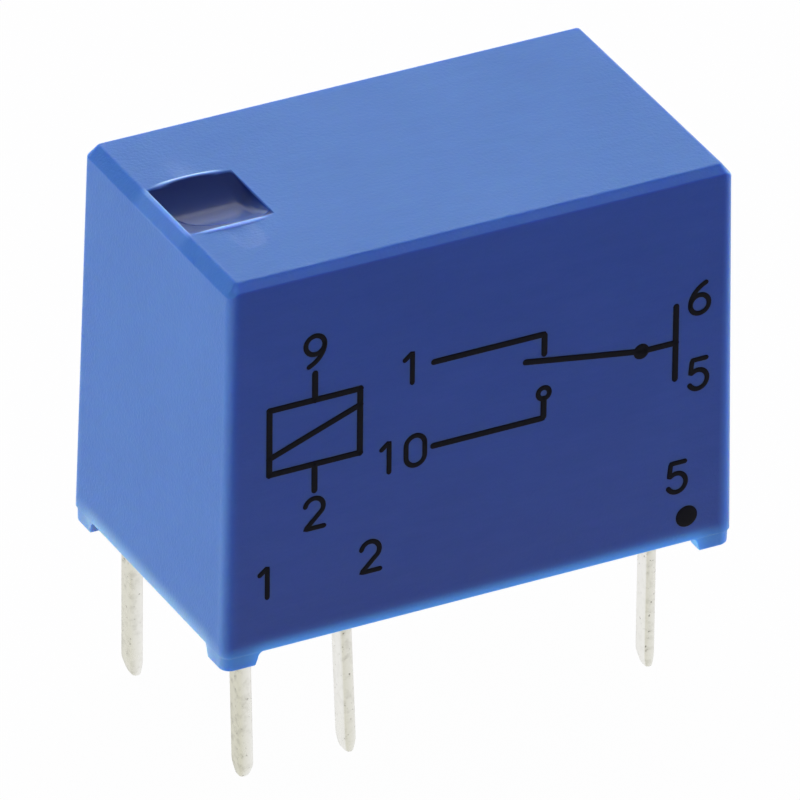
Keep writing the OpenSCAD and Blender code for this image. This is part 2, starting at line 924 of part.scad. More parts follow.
// Solder cap on a post, just above the last turn of its lead
module solder(side) {
    cap_z = wrap_z + wrap_rise * wraps + 0.7 * lead_d;
    cap_cover = 0.12;
    cap_h = lug_z + post_h + cap_cover - cap_z;
    cap_r = wrap_r + 0.05;
    crown_r = cap_r + 0.1;
    translate([coil_col, side * post_y, 0])
        difference() {
            translate([0, 0, cap_z])
                rotate_extrude()
                    intersection() {
                        square([cap_r, cap_h]);
                        translate([0, cap_h - crown_r])
                            circle(r = crown_r, $fn = 96);
                    }
            translate([0, 0, cap_z - eps])
                linear_extrude(cap_h - cap_cover + eps)
                    pin_section(post_w);
        }
}

module solder_front() {
    color("silver")
        solder(-1);
}

module solder_rear() {
    color("silver")
        solder(1);
}

cover();
sealing_resin();
base();
bobbin();
winding();
core();
yoke();
armature();
moving_spring();
moving_contact();
armature_rivets();
spring_rivets();
terminal_rivets();
normally_closed_terminal();
normally_open_terminal();
normally_closed_contact();
normally_open_contact();
coil_terminal_front();
coil_terminal_rear();
common_terminal();
coil_lead_front();
coil_lead_rear();
solder_front();
solder_rear();
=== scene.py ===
# %% [markdown]
# A signal relay, dressed over its CAD model.
# The CAD model comes in as a fixed frame: 24 solids in metres, on two bodies, the housing and the armature.
# What the eye sees of the real part is a blue moulded cover, its print and six tinned pins.
# Those pieces are worked out here as smooth surfaces. The parts inside keep their solids where these are
# already right, and get the finish of their real material.

# %% Load the frame
import bpy
import numpy as np
from mathutils import Matrix, Vector


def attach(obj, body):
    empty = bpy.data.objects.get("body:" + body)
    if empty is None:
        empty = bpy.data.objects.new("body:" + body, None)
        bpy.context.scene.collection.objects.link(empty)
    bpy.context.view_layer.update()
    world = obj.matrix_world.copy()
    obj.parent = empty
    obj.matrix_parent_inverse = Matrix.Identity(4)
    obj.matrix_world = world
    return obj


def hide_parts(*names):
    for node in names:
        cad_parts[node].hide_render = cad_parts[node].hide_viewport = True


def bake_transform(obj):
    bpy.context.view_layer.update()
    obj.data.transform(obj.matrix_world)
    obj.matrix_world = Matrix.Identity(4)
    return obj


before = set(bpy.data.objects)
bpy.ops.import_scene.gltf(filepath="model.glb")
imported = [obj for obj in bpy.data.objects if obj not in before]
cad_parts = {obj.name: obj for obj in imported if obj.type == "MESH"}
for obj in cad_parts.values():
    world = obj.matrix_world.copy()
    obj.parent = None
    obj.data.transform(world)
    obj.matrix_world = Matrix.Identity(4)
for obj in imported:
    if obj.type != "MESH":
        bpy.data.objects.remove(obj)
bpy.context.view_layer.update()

# %% [markdown]
# Every shape below is a function of two parameters, computed for a whole grid at once with numpy.
# A grid can be handed to Blender point by point with bmesh, but from_pydata takes it in one go.
# Lengths are in millimetres in the formulas, because that is how such a part is drawn, and turn into
# metres in one place only. The volume a shape encloses shows at once whether its faces point outwards.

# %% From a grid of points to a piece
MM = 0.001


def quads(index):
    """Faces between neighbouring rows and columns of a table of vertex numbers."""
    a, b = index[:-1, :-1], index[:-1, 1:]
    c, d = index[1:, 1:], index[1:, :-1]
    return np.stack([a, b, c, d], -1).reshape(-1, 4)


def around(index):
    """The same table with its first column repeated, so that quads() closes a ring."""
    return np.concatenate([index, index[:, :1]], 1)


def enclosed(points, faces):
    """Signed volume: a sixth of the sum of p0 . (p1 x p2) over the faces, cut into triangles."""
    total = 0.0
    for size in sorted({len(face) for face in faces}):
        same = np.array([face for face in faces if len(face) == size])
        for k in range(1, size - 1):
            p, q, r = points[same[:, 0]], points[same[:, k]], points[same[:, k + 1]]
            total += np.einsum("ij,ij->", p, np.cross(q, r)) / 6
    return total


def open_edges(faces):
    """How many edges lack a neighbour that runs along them the other way: none on a closed shape."""
    ahead = {(a, b) for face in faces for a, b in zip(face, face[1:] + face[:1])}
    return sum((b, a) not in ahead for a, b in ahead)


def make_piece(name, points, faces, finish, closed=True):
    """Mesh object at the origin from points in mm. A closed shape that is inside out is turned."""
    points = np.asarray(points, float).reshape(-1, 3)
    faces = [list(map(int, face)) for face in faces]
    volume = enclosed(points, faces) if closed else 0.0
    if volume < 0:
        faces = [face[::-1] for face in faces]
    mesh = bpy.data.meshes.new(name)
    mesh.from_pydata((points * MM).tolist(), [], faces)
    mesh.shade_smooth()
    mesh.materials.append(finish)
    piece = bpy.data.objects.new(name, mesh)
    bpy.context.scene.collection.objects.link(piece)
    print(f"{name}: {len(points)} points, {len(faces)} faces, {abs(volume):.2f} mm3,",
          f"{open_edges(faces)} open edges")
    return piece


def mark(piece, label, values):
    """Named value at every point, for the finish to read as an attribute."""
    attribute = piece.data.attributes.new(label, "FLOAT", "POINT")
    attribute.data.foreach_set("value", np.ravel(values).astype(float))


# %% [markdown]
# Colours are written as on a colour card, in sRGB hex, but Blender's sockets want linear light.
# One function turns one into the other. Materials are small trees of nodes: one short function adds a
# node, another fills its sockets, which can be named or given in their own order. For MapRange that order
# is the value, the two ends it comes from and the two ends it goes to. Many finishes are a noise between
# two tones, so that pattern is a function too.

# %% Colours and nodes
SMOOTH = {"interpolation_type": "SMOOTHSTEP"}


def linear(code):
    """Linear RGBA of a hex colour: c / 12.92 where dark, else ((c + 0.055) / 1.055) ** 2.4."""
    c = np.array([int(code[i:i + 2], 16) for i in (1, 3, 5)]) / 255
    light = np.where(c <= 0.04045, c / 12.92, ((c + 0.055) / 1.055) ** 2.4)
    return (*light.tolist(), 1.0)


def fill(node, sockets):
    """Every socket of a dict, by name or number, or of a list, by place, gets a value, a hex colour or a
    link. A link comes from an output or, where a node is given, from its first output in use."""
    for key, value in sockets.items() if isinstance(sockets, dict) else enumerate(sockets):
        if isinstance(value, bpy.types.Node):
            value = next(output for output in value.outputs if output.enabled)
        if isinstance(value, bpy.types.NodeSocket):
            node.id_data.links.new(value, node.inputs[key])
        else:
            node.inputs[key].default_value = linear(value) if isinstance(value, str) else value


def add(tree, kind, sockets=(), **options):
    """One new node, with its options set and its sockets filled. Kind names a type, as in "Mix", and where
    it has one its operation, as in "Math ADD". A Mix mixes colours."""
    kind, *operation = kind.split()
    node = tree.nodes.new("ShaderNode" + kind)
    if operation:
        node.operation = operation[0]
    if kind == "Mix":
        node.data_type = "RGBA"
    for option, value in options.items():
        setattr(node, option, value)
    fill(node, sockets)
    return node


def new_finish(name):
    """Empty material with its shader linked up: returns the material, its tree and the shader."""
    finish = bpy.data.materials.new(name)
    finish.use_nodes = True
    tree = finish.node_tree
    return finish, tree, tree.nodes["Principled BSDF"]


def in_mm(tree, scale=(1, 1, 1)):
    """Object coordinates in millimetres, stretched by scale."""
    place = add(tree, "TexCoord").outputs["Object"]
    return add(tree, "Mapping", {"Vector": place, "Scale": [s / MM for s in scale]})


def clouded(name, tones, noise, depth, constants, stretch=(1, 1, 1)):
    """Material whose noise mixes two tones and stands out by a depth in mm, and the noise itself."""
    finish, tree, shader = new_finish(name)
    cloud = add(tree, "TexNoise", {"Vector": in_mm(tree, stretch), **noise})
    colour = add(tree, "Mix", {0: cloud, 6: tones[0], 7: tones[1]})
    fill(shader, {"Base Color": colour, **constants})
    if depth:
        bump = add(tree, "Bump", {"Height": cloud, "Distance": depth * MM, "Strength": 1.0})
        fill(shader, {"Normal": bump})
    return finish, cloud


print("blue of the cover in linear light:", [round(v, 3) for v in linear("#3E6EB0")[:3]])

# %% [markdown]
# The cover is injection-moulded PBT, a polyester that is a little translucent.
# The mould is spark-eroded, which leaves a fine even grain of about 0.05 mm, so the surface looks matte.
# Where the wall ends, at the lower edges and the feet, light comes through from inside and the blue turns
# to sky blue. Subsurface scattering could do that alone, but on a wall of half a millimetre it stays faint
# and noisy, so the colour itself is also lightened near the edges, by distance.

# %% Finish: injection-moulded blue PBT
COVER_SHIFT = 0.22
HALF_L, HALF_W = 6.3, 3.7

moulded_pbt, tree, shader = new_finish("PBT blue, spark-eroded mould")
mm = in_mm(tree)
at_x, at_y, at_z = add(tree, "SeparateXYZ", [mm]).outputs
# Distance from the upright edges: one of the two is about zero on any side wall
off_x = add(tree, "Math SUBTRACT", [at_x, COVER_SHIFT])
abs_x = add(tree, "Math ABSOLUTE", [off_x])
abs_y = add(tree, "Math ABSOLUTE", [at_y])
from_x = add(tree, "Math SUBTRACT", [HALF_L, abs_x])
from_y = add(tree, "Math SUBTRACT", [HALF_W, abs_y])
from_edge = add(tree, "Math MAXIMUM", [from_x, from_y])
edge_glow = add(tree, "MapRange", [from_edge, 0.1, 0.45, 1.0, 0.0], **SMOOTH)
# The edges at the right stand against the light, so more of it comes through them
against_light = add(tree, "MapRange", [at_x, -6.0, 6.0, 0.2, 1.3])
edge_glow = add(tree, "Math MULTIPLY", [edge_glow, against_light])
foot_glow = add(tree, "MapRange", [at_z, 0.25, 0.82, 0.9, 0.0], **SMOOTH)
# Over the feet less light gets in than between them
between_feet = add(tree, "MapRange", [from_edge, 0.45, 1.1, 0.46, 1.0], **SMOOTH)
foot_glow = add(tree, "Math MULTIPLY", [foot_glow, between_feet])
glow = add(tree, "Math MAXIMUM", [edge_glow, foot_glow])
# The melt leaves faint clouds some millimetres wide, and fine streaks along the way it ran, in X
clouds = add(tree, "TexNoise", {"Vector": mm, "Scale": 0.35, "Detail": 3.0, "Roughness": 0.6})
along_x = in_mm(tree, (0.2, 1, 1))
streaks = add(tree, "TexNoise", {"Vector": along_x, "Scale": 3.5, "Detail": 4.0, "Roughness": 0.75})
tone = add(tree, "Math ADD", [clouds, streaks])
tone = add(tree, "MapRange", [tone, 0.65, 1.35])
body_blue = add(tree, "Mix", {0: tone, 6: "#3E6EB0", 7: "#4575B7"})
# Behind the end walls stand the ends of the base, so less light comes through there than at the long sides
nearer_end = add(tree, "Math SUBTRACT", [from_y, from_x])
on_end = add(tree, "MapRange", [nearer_end, -0.15, 0.15])
glow_blue = add(tree, "Mix", {0: on_end, 6: "#64AEE4", 7: "#98BED6"})
blue = add(tree, "Mix", {0: glow, 6: body_blue, 7: glow_blue})
# Painted light: the upper part of the front chamfer is lightened, as a broad light from above would light it
high = add(tree, "MapRange", [at_z, 9.4, 9.46])
outside = add(tree, "MapRange", [from_y, 0.28, 0.38, 0.29, 0.0])
at_front = add(tree, "Math LESS_THAN", [at_y, 0.0])
painted_chamfer_light = add(tree, "Math MULTIPLY", [high, outside])
painted_chamfer_light = add(tree, "Math MULTIPLY", [painted_chamfer_light, at_front])
blue = add(tree, "Mix", {0: painted_chamfer_light, 6: blue, 7: "#75A7ED"})
# Hot pressing closes the pores: the skin is glassier and looks deeper. The beads it pushes out are painted
# paler: a painted highlight, and the whitening of stressed plastic
pressed = add(tree, "Attribute", attribute_name="pressed").outputs["Fac"]
squeezed_and_highlight = add(tree, "Attribute", attribute_name="squeezed_and_highlight").outputs["Fac"]
# The stamp was set down twice: inside the hollow its first edge left a fine step, an arc of 1.48 mm
across_x = add(tree, "Math ADD", [at_x, 4.03])
across_y = add(tree, "Math SUBTRACT", [at_y, 0.6])
flat = add(tree, "CombineXYZ", [across_x, across_y])
from_arc = add(tree, "VectorMath LENGTH", [flat])
first_edge = add(tree, "MapRange", [from_arc, 1.46, 1.51], **SMOOTH)
lies_below = add(tree, "Math LESS_THAN", [at_y, 0.1])
step_down = add(tree, "Math MULTIPLY", [first_edge, lies_below])
step_down = add(tree, "Math MULTIPLY", [step_down, pressed])
# On its near side the skin is painted paler: a painted sheen where the hollow faces the light from behind
painted_sheen_side = add(tree, "MapRange", [at_y, -0.85, 0.1, 1.0, 0.0])
skin = add(tree, "Mix", {0: painted_sheen_side, 6: "#1B2F66", 7: "#3C5C9E"})
# Past the step the skin is painted darker, as painted shade
skin = add(tree, "Mix", {0: step_down, 6: skin, 7: "#28427A"})
deeper = add(tree, "Mix", {0: pressed, 6: blue, 7: skin})
whitened_and_highlit = add(tree, "Mix", {0: squeezed_and_highlight, 6: deeper, 7: "#A4C8F4"})
# Light that comes through the wall from inside shows as a faint glow over its lower edge
through = add(tree, "MapRange", [at_z, 0.34, 0.68, 1.0, 0.0], **SMOOTH)
through = add(tree, "Math MULTIPLY", [through, between_feet])
less_at_end = add(tree, "Math MULTIPLY_ADD", [on_end, -0.85, 1.0])
through = add(tree, "Math MULTIPLY", [through, less_at_end])
lit_through = add(tree, "Mix", {0: through, 6: "#000000", 7: "#55A8DE"})
# Grain of the eroded mould, and the smooth skin where the hot stamp has pressed the vent shut
grain = add(tree, "TexNoise", {"Vector": mm, "Scale": 14.0, "Detail": 2.0, "Roughness": 0.55})
grain_left = add(tree, "MapRange", [pressed, 0.0, 1.0, 1.0, 0.06])
relief = add(tree, "Math MULTIPLY", [grain, grain_left])
relief = add(tree, "Math MULTIPLY_ADD", [step_down, -2.5, relief])
bump = add(tree, "Bump", {"Height": relief, "Distance": 0.011 * MM, "Strength": 1.0})
gloss = add(tree, "MapRange", [pressed, 0.0, 1.0, 0.5, 0.2])
gloss = add(tree, "Math MULTIPLY_ADD", [step_down, 0.2, gloss])
fill(shader, {
    "Base Color": whitened_and_highlit, "Roughness": gloss, "Normal": bump, "IOR": 1.5, "Specular IOR Level": 0.5,
    "Emission Color": lit_through, "Emission Strength": 0.42, "Subsurface Weight": 1.0,
    "Subsurface Radius": (0.2, 0.5, 1.5), "Subsurface Scale": 0.25 * MM,
})
print(moulded_pbt.name)

# %% [markdown]
# The cover's outline from above is a rectangle with rounded corners, at every height a little smaller,
# because the walls lean by 0.95 degrees so that the part leaves its mould.
# A subdivided cube would round the edges too, but by guesswork. Here the shell is a profile carried round
# the rectangle: each profile point says how far it lies inside the outer wall and at what height.
# Sharp corners of the profile are turned into small arcs, and each long stretch gets a support point next
# to its ends, so that smooth shading stays flat on the flat walls.

# %% Profile with rounded corners
DRAFT = np.tan(np.radians(0.95))
ROOF_Z, WALL_Z, CEILING_Z, WALL_T = 9.6, 0.35, 9.1, 0.45


def rounded(points, radii, steps=4):
    """Polyline whose corners are arcs: each starts radius * tan(turn / 2) before its corner."""
    points = np.asarray(points, float)
    out = [points[:1]]
    for before, corner, after, radius in zip(points, points[1:], points[2:], radii):
        u = (before - corner) / np.linalg.norm(before - corner)
        v = (after - corner) / np.linalg.norm(after - corner)
        half = np.arccos(np.clip(u @ v, -1, 1)) / 2
        middle = corner + (u + v) / np.linalg.norm(u + v) * radius / np.sin(half)
        first, last = corner + u * radius / np.tan(half), corner + v * radius / np.tan(half)
        t = np.linspace(0, 1, steps + 1)[:, None]
        chord = first + (last - first) * t - middle
        out.append(middle + chord / np.linalg.norm(chord, axis=1)[:, None] * radius)
    return np.concatenate(out + [points[-1:]])


def supported(line, gap=0.03):
    """The line with a point at gap from both ends of every stretch longer than five gaps."""
    out = [line[0]]
    for p, q in zip(line, line[1:]):
        length = np.linalg.norm(q - p)
        if length > 5 * gap:
            out += [p + (q - p) * gap / length, q - (q - p) * gap / length]
        out.append(q)
    return np.array(out)


# Inset from the outer wall and height: roof, chamfer, wall, step to the feet, inner wall, ceiling
shell = [(0.28, 9.6), (0.23, 9.6), (0, 9.29), (0, 0.35), (0.03, 0.34), (0.038, 0), (0.45, 0),
         (0.45, 9.1), (0.65, 9.1)]
shell_line = supported(rounded(shell, [0.095, 0.07, 0.05, 0.015, 0.045, 0.04, 0.12]))
print("points on the shell's profile:", len(shell_line))

# %% [markdown]
# Roof and ceiling are tables of columns and rows. Near the corners a square table doesn't fit a round
# outline, so those cells are bent by the concentric map, which turns a square's rim into a circle's.
# Columns and rows are closer where something happens: at the feet's ends and at the pressed hollow.

# %% Tray: a table of points in a rounded rectangle
CORNER_CELLS = 4


class Tray:
    """Columns and rows of a rounded rectangle, as shares of its straight parts and of its corners."""

    def __init__(self, columns, rows):
        k = np.linspace(0, 1, CORNER_CELLS + 1)[1:]
        share, corner = [], []
        for straight in (columns, rows):
            straight = np.unique(np.round(np.concatenate([straight, [-1, 1]]), 3))
            share.append(np.concatenate([-np.ones_like(k), straight, np.ones_like(k)]))
            corner.append(np.concatenate([-k[::-1], 0 * straight, k]))
        self.sx, self.sy = np.meshgrid(*share, indexing="ij")
        ax, ay = np.meshgrid(*corner, indexing="ij")
        far = np.maximum(np.abs(ax), np.abs(ay))
        near = np.minimum(np.abs(ax), np.abs(ay))
        angle = np.pi / 4 * near / np.where(far > 0, far, 1)
        wide = np.abs(ax) >= np.abs(ay)
        self.cx = np.sign(ax) * far * np.where(wide, np.cos(angle), np.sin(angle))
        self.cy = np.sign(ay) * far * np.where(wide, np.sin(angle), np.cos(angle))
        table = np.arange(self.sx.size).reshape(self.sx.shape)
        self.rim = np.concatenate([table[:-1, 0], table[-1, :-1], table[:0:-1, -1], table[0, :0:-1]])
        self.table = table

    def place(self, half_x, half_y, radius):
        """x and y of every point: share * (half - radius) + corner direction * radius."""
        x = self.sx * (half_x - radius) + self.cx * radius
        y = self.sy * (half_y - radius) + self.cy * radius
        return x, y

    def ring(self, half_x, half_y, radius):
        """x and y of the rim's points alone, anticlockwise from above."""
        x, y = self.place(half_x, half_y, radius)
        return x.ravel()[self.rim], y.ravel()[self.rim]


FOOT_L, FOOT_LEAN, FILLET, EDGE_R, TOP_R = 0.81, 0.06, 0.18, 0.25, 0.06
SEAL_L, SEAL_W, SEAL_DEPTH, LIP_H = 2.05, 2.1, 0.3, 0.05
roof_x = HALF_L - DRAFT * (ROOF_Z - WALL_Z) - shell[0][0]
roof_y = HALF_W - DRAFT * (ROOF_Z - WALL_Z) - shell[0][0]
seal_x0 = -(roof_x + shell[0][0]) + 0.28
seal_x1 = seal_x0 + SEAL_L

foot_marks = np.array([0.27, 0.5, 0.79, 0.81, 0.83, 0.85, 0.87, 0.875, 0.885, 0.9, 0.922, 0.95, 0.985,
                       1.02, 1.05, 1.08, 1.3])
long_feet = 1 - (foot_marks - EDGE_R) / (HALF_L - EDGE_R)
short_feet = 1 - (foot_marks - EDGE_R) / (HALF_W - EDGE_R)
seal_columns = np.concatenate([
    seal_x0 + np.array([0.08, 0.1]), np.linspace(seal_x0 + 0.2, seal_x1 - 0.35, 9),
    seal_x1 + np.array([-0.31, -0.28, -0.24, -0.2, -0.16, -0.12, -0.09, -0.06, -0.04, -0.02, -0.01, 0,
                        0.01, 0.03, 0.1]),
]) / (roof_x - TOP_R)
seal_rows = np.concatenate([
    np.linspace(-1.24, -0.98, 20), np.linspace(-0.95, 0.95, 27), np.linspace(0.98, 1.24, 20),
]) / (roof_y - TOP_R)
cover_tray = Tray(
    np.concatenate([long_feet, -long_feet, seal_columns, np.linspace(-0.95, 0.95, 15)]),
    np.concatenate([short_feet, -short_feet, seal_rows]),
)
print("table of the roof:", cover_tray.table.shape, "rim:", len(cover_tray.rim))

# %% [markdown]
# The vent in the roof is closed after the resin has cured: a hot stamp presses the plastic into a hollow
# part-cylinder and squeezes a bead out on both sides. As a height over the roof that is two formulas,
# the lower one wins inside the stamp's length. A boolean cut would leave hard edges to mend afterwards.

# %% Height of the roof
# Length of the hollow's inner end, radius of its beads, half of its beads' length, softness of its brim
SEAL_END, BEAD_R, BEAD_HALF, BRIM = 0.3, 0.2, 0.42 * SEAL_L, 0.012


def roof_height(x, y):
    """Roof with two beads, cut by a cylinder along X. Its inner end is a quarter ellipse of 0.3 mm.
    The cut is max(over, 0) with its corner rounded: (over + sqrt(over^2 + 0.012^2)) / 2."""
    radius = (SEAL_W ** 2 / 4 + SEAL_DEPTH ** 2) / (2 * SEAL_DEPTH)
    cylinder = ROOF_Z - SEAL_DEPTH + radius - np.sqrt(radius ** 2 - np.minimum(np.abs(y), 1.9) ** 2)
    across = np.abs(y) - SEAL_W / 2 - LIP_H
    along = x - (seal_x0 + seal_x1) / 2
    bead = np.sqrt(np.maximum(BEAD_R ** 2 - across ** 2, 0)) - BEAD_R + LIP_H
    bead = bead - LIP_H * (along / BEAD_HALF) ** 2
    outer = ROOF_Z + np.maximum(bead, 0)
    inside = np.sqrt(1 - (1 - np.clip((seal_x1 - x) / SEAL_END, 0, 1)) ** 2)
    inside = inside * np.clip((x - seal_x0 + 0.01) / 0.05, 0, 1)
    over = outer - cylinder
    cut = (over + np.sqrt(over ** 2 + BRIM ** 2)) / 2 * inside * (np.abs(y) < 1.3)
    stamped = np.clip(cut / 0.03, 0, 1)
    return outer - cut, stamped, np.clip(1.6 * bead / LIP_H, 0, 1) * (1 - stamped)


x, y = cover_tray.place(roof_x, roof_y, TOP_R)
z, stamped, beaded = roof_height(x, y)
print("roof from", z.min().round(3), "to", z.max().round(3), "mm")

# %% [markdown]
# Now the rings. Under the walls' lower edge only four corner feet go down to the board. Each foot ends in
# a hollow quarter circle. The profile is the same all round, but every height below the edge is drawn up
# by the share of a foot that is left at that place, so the feet grow out of the same grid.

# %% The cover
# What the wall still stands out below its lower edge between the feet, and how far the knee of squared()
# lies before the end of the straight part
LEDGE, KNEE = 0.012, 0.51


def foot_share(x, y):
    """Share of the foot's height at a point of the rim: whole at the corner, a leaning end face up to
    0.17 mm, a hollow quarter circle of 0.18 mm, and nearly none between the feet."""
    along = np.maximum(HALF_L - np.abs(x), HALF_W - np.abs(y))
    start = FOOT_L + FOOT_LEAN
    across = np.clip(start + FILLET - along, 0, FILLET)
    hollow = WALL_Z - FILLET + np.sqrt(FILLET ** 2 - across ** 2)
    leaning = np.clip((along - FOOT_L) / FOOT_LEAN, 0, 1) * (WALL_Z - FILLET)
    underside = np.minimum(np.where(along < start, leaning, hollow), WALL_Z - LEDGE)
    return (WALL_Z - underside) / WALL_Z


def squared(value, limit, straight):
    """Coordinates of the straight parts at the same place on every ring up to a knee 0.76 mm from the
    outer corner, and in proportion from there to this ring's own limit; straight is the outer limit."""
    outer = value / limit * straight
    knee = straight - KNEE
    past = np.maximum(np.abs(outer) - knee, 0) * (limit - knee) / (straight - knee)
    return np.sign(outer) * (np.minimum(np.abs(outer), knee) + past)


def shell_rings(tray, line):
    """x, y and z of every profile point round the rim, one row per point. On the front the chamfer is
    smaller: 0.21 x 0.155 mm. Its heights go over into those of the ends by sin^4 of the corner's angle."""
    rows = []
    for inset, level in line[1:-1]:
        shrink = DRAFT * max(level - WALL_Z, 0) + inset
        outer = level > 9 and inset < 0.4
        radius = max(EDGE_R - 0.8 * inset, TOP_R) if level > 9.2 and outer else EDGE_R
        front_level = np.interp(level, [9, 9.29, 9.6], [9, 9.445, 9.6]) if outer else level
        front_inset = np.interp(inset, [0, 0.23, 0.28], [0, 0.21, 0.28]) if outer else inset
        front_shrink = DRAFT * max(front_level - WALL_Z, 0) + front_inset
        rx, ry = tray.ring(HALF_L - shrink, HALF_W - shrink, radius)
        front_y = tray.ring(HALF_L - shrink, HALF_W - front_shrink, radius)[1]
        ry = np.where(ry < 0, front_y, ry)
        past = np.clip((-ry - (HALF_W - front_shrink - radius)) / radius, 0, 1)
        rz = level + (front_level - level) * past ** 4
        if level < 1:
            # Near the feet the columns stand upright, so that the feet's ends are flat planes
            limit_x, limit_y = HALF_L - shrink - radius, HALF_W - shrink - radius
            on_long, on_short = np.abs(rx) <= limit_x, np.abs(ry) <= limit_y
            rx = np.where(on_long, squared(rx, limit_x, HALF_L - EDGE_R), rx)
            ry = np.where(on_short, squared(ry, limit_y, HALF_W - EDGE_R), ry)
        if level < WALL_Z:
            rz = WALL_Z - (WALL_Z - level) * foot_share(rx, ry)
        rows.append(np.stack([rx, ry, rz], -1))
    return np.array(rows)


roof = np.stack([x, y, z], -1).reshape(-1, 3)
rings = shell_rings(cover_tray, shell_line)
ceiling_half = DRAFT * (CEILING_Z - WALL_Z) + shell[-1][0]
cx, cy = cover_tray.place(HALF_L - ceiling_half, HALF_W - ceiling_half, TOP_R)
ceiling = np.stack([cx, cy, np.full_like(cx, CEILING_Z)], -1).reshape(-1, 3)
cover_points = np.concatenate([roof, rings.reshape(-1, 3), ceiling]) + [COVER_SHIFT, 0, 0]

n_roof, n_ring = len(roof), len(rings) * len(cover_tray.rim)
ring_table = n_roof + np.arange(n_ring).reshape(len(rings), -1)
stack = np.concatenate([
    cover_tray.rim[None], ring_table, cover_tray.rim[None] + n_roof + n_ring,
])
cover_faces = np.concatenate([
    quads(cover_tray.table)[:, ::-1],
    quads(around(stack))[:, ::-1],
    quads(cover_tray.table + n_roof + n_ring),
])
cover_piece = make_piece("cover_shell", cover_points, cover_faces, moulded_pbt)
# Beneath the stamp's open end the chamfer is painted slightly paler, as light through its thin wall, and its
# upper edge gets a painted highlight
below = (rings[..., 0] < -5.5) & (rings[..., 2] > 9.25)
below = below * np.clip((1.2 - np.abs(rings[..., 1])) / 0.25, 0, 1)
thin_wall_and_highlight = below * np.where(rings[..., 2] > 9.56, 0.35, 0.1)
for label, on_roof, on_rings in (("pressed", stamped, 0 * thin_wall_and_highlight), ("squeezed_and_highlight", 0.85 * beaded, thin_wall_and_highlight)):
    mark(cover_piece, label, np.concatenate([on_roof.ravel(), on_rings.ravel(), np.zeros(len(ceiling))]))
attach(cover_piece, "housing")
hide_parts("cover")

# %% [markdown]
# The pins are the visible ends of terminals that are stamped from copper-alloy strip and dipped in tin.
# Hot tin pulls itself smooth, so edges are round, the surface is satin, and tiny pits and specks of flux
# stay behind. Noise at two scales gives the uneven gloss, and sparse dark dots give the specks.

# %% Finish: hot-tinned copper alloy
tinned_alloy, tree, shader = new_finish("copper alloy, hot-tinned")
mm = in_mm(tree)
flow = add(tree, "TexNoise", {"Vector": in_mm(tree, (1, 1, 0.35)), "Scale": 2.5, "Detail": 3.0})
dots = add(tree, "TexNoise", {"Vector": mm, "Scale": 11.0, "Detail": 2.0, "Roughness": 0.7})
# More specks stay where the tin ran last, under the cover, and on the side that is painted darker as shade.
# Inside the base there are few again
shaded_stained_side = add(tree, "Attribute", attribute_name="shaded_stained_side").outputs["Fac"]
at_z = add(tree, "SeparateXYZ", [mm]).outputs["Z"]
last = add(tree, "MapRange", [at_z, -0.9, 0.0, 0.0, 0.06])
inside = add(tree, "MapRange", [at_z, 0.8, 1.3, 0.06, 0.0])
last = add(tree, "Math MINIMUM", [last, inside])
more = add(tree, "Math MULTIPLY_ADD", [shaded_stained_side, 0.02, last])
dense = add(tree, "Math ADD", [dots, more])
speck = add(tree, "MapRange", [dense, 0.68, 0.76])
tin = add(tree, "Mix", {0: flow, 6: "#E2E1D9", 7: "#FAF9F6"})
# Painted shade: the marked side of each pin is a greyer tin
painted_shade_tin = add(tree, "Mix", {0: flow, 6: "#C6C4AF", 7: "#E3E1D3"})
tin_shade_and_stains = add(tree, "Mix", {0: shaded_stained_side, 6: tin, 7: painted_shade_tin})
# Flux leaves grey stains of 0.1 to 0.2 mm, mostly on the side with painted shade
stain = add(tree, "TexNoise", {"Vector": mm, "Scale": 5.5, "Detail": 3.0, "Roughness": 0.6})
stain = add(tree, "MapRange", [stain, 0.48, 0.7])
stained = add(tree, "Math MULTIPLY_ADD", [shaded_stained_side, 0.42, 0.12])
stained = add(tree, "Math MULTIPLY", [stain, stained])
tin_shade_and_stains = add(tree, "Mix", {0: stained, 6: tin_shade_and_stains, 7: "#A5A395"})
spotted = add(tree, "Mix", {0: speck, 6: tin_shade_and_stains, 7: "#6B675C"})
uneven = add(tree, "MapRange", [flow, 0.3, 0.7, 0.24, 0.42])
ripple = add(tree, "TexNoise", {"Vector": mm, "Scale": 5.0, "Detail": 2.0})
bump = add(tree, "Bump", {"Height": ripple, "Distance": 0.012 * MM, "Strength": 1.0})
fill(shader, {"Base Color": spotted, "Roughness": uneven, "Normal": bump, "Metallic": 1.0})
print(tinned_alloy.name)

# %% [markdown]
# Every terminal and the moving spring are flat strip: a rounded rectangle carried along a path while its
# two edges draw in and out. A curve object with a bevel can't change its width and its thickness apart,
# so the strip is worked out here: each row has the two edge points, the direction of its thickness, the
# thickness itself and the radius of its long edges.

# %% Strip along a path
def strip(edge_a, edge_b, normal, thick, radius, steps=3):
    """Rows of a rounded rectangle: from edge a, u = (0 or width) +- radius (1 - cos) along the strip's
    width, v = +-(thick / 2 - radius) + radius * sin along its thickness."""
    width = np.linalg.norm(edge_b - edge_a, axis=1)[:, None]
    wide = (edge_b - edge_a) / width
    thick = np.broadcast_to(thick, len(edge_a))[:, None]
    radius = np.minimum(np.broadcast_to(radius, len(edge_a))[:, None], 0.48 * np.minimum(width, thick))
    turn = np.radians(np.concatenate([np.linspace(q, q + 90, steps + 1) for q in (0, 90, 180, 270)]))
    far = np.repeat([1, 0, 0, 1], steps + 1)
    up = np.repeat([1, 1, -1, -1], steps + 1)
    u = far * (width - 2 * radius) + radius + radius * np.cos(turn)
    v = up * (thick / 2 - radius) + radius * np.sin(turn)
    return edge_a[:, None] + wide[:, None] * u[..., None] + normal[:, None] * v[..., None]


def strip_faces(rows):
    """Quads round and along the strip, and one face over each end."""
    count, around_count = rows.shape[:2]
    table = np.arange(count * around_count).reshape(count, around_count)
    return quads(around(table)).tolist() + [table[0, ::-1].tolist(), table[-1].tolist()]


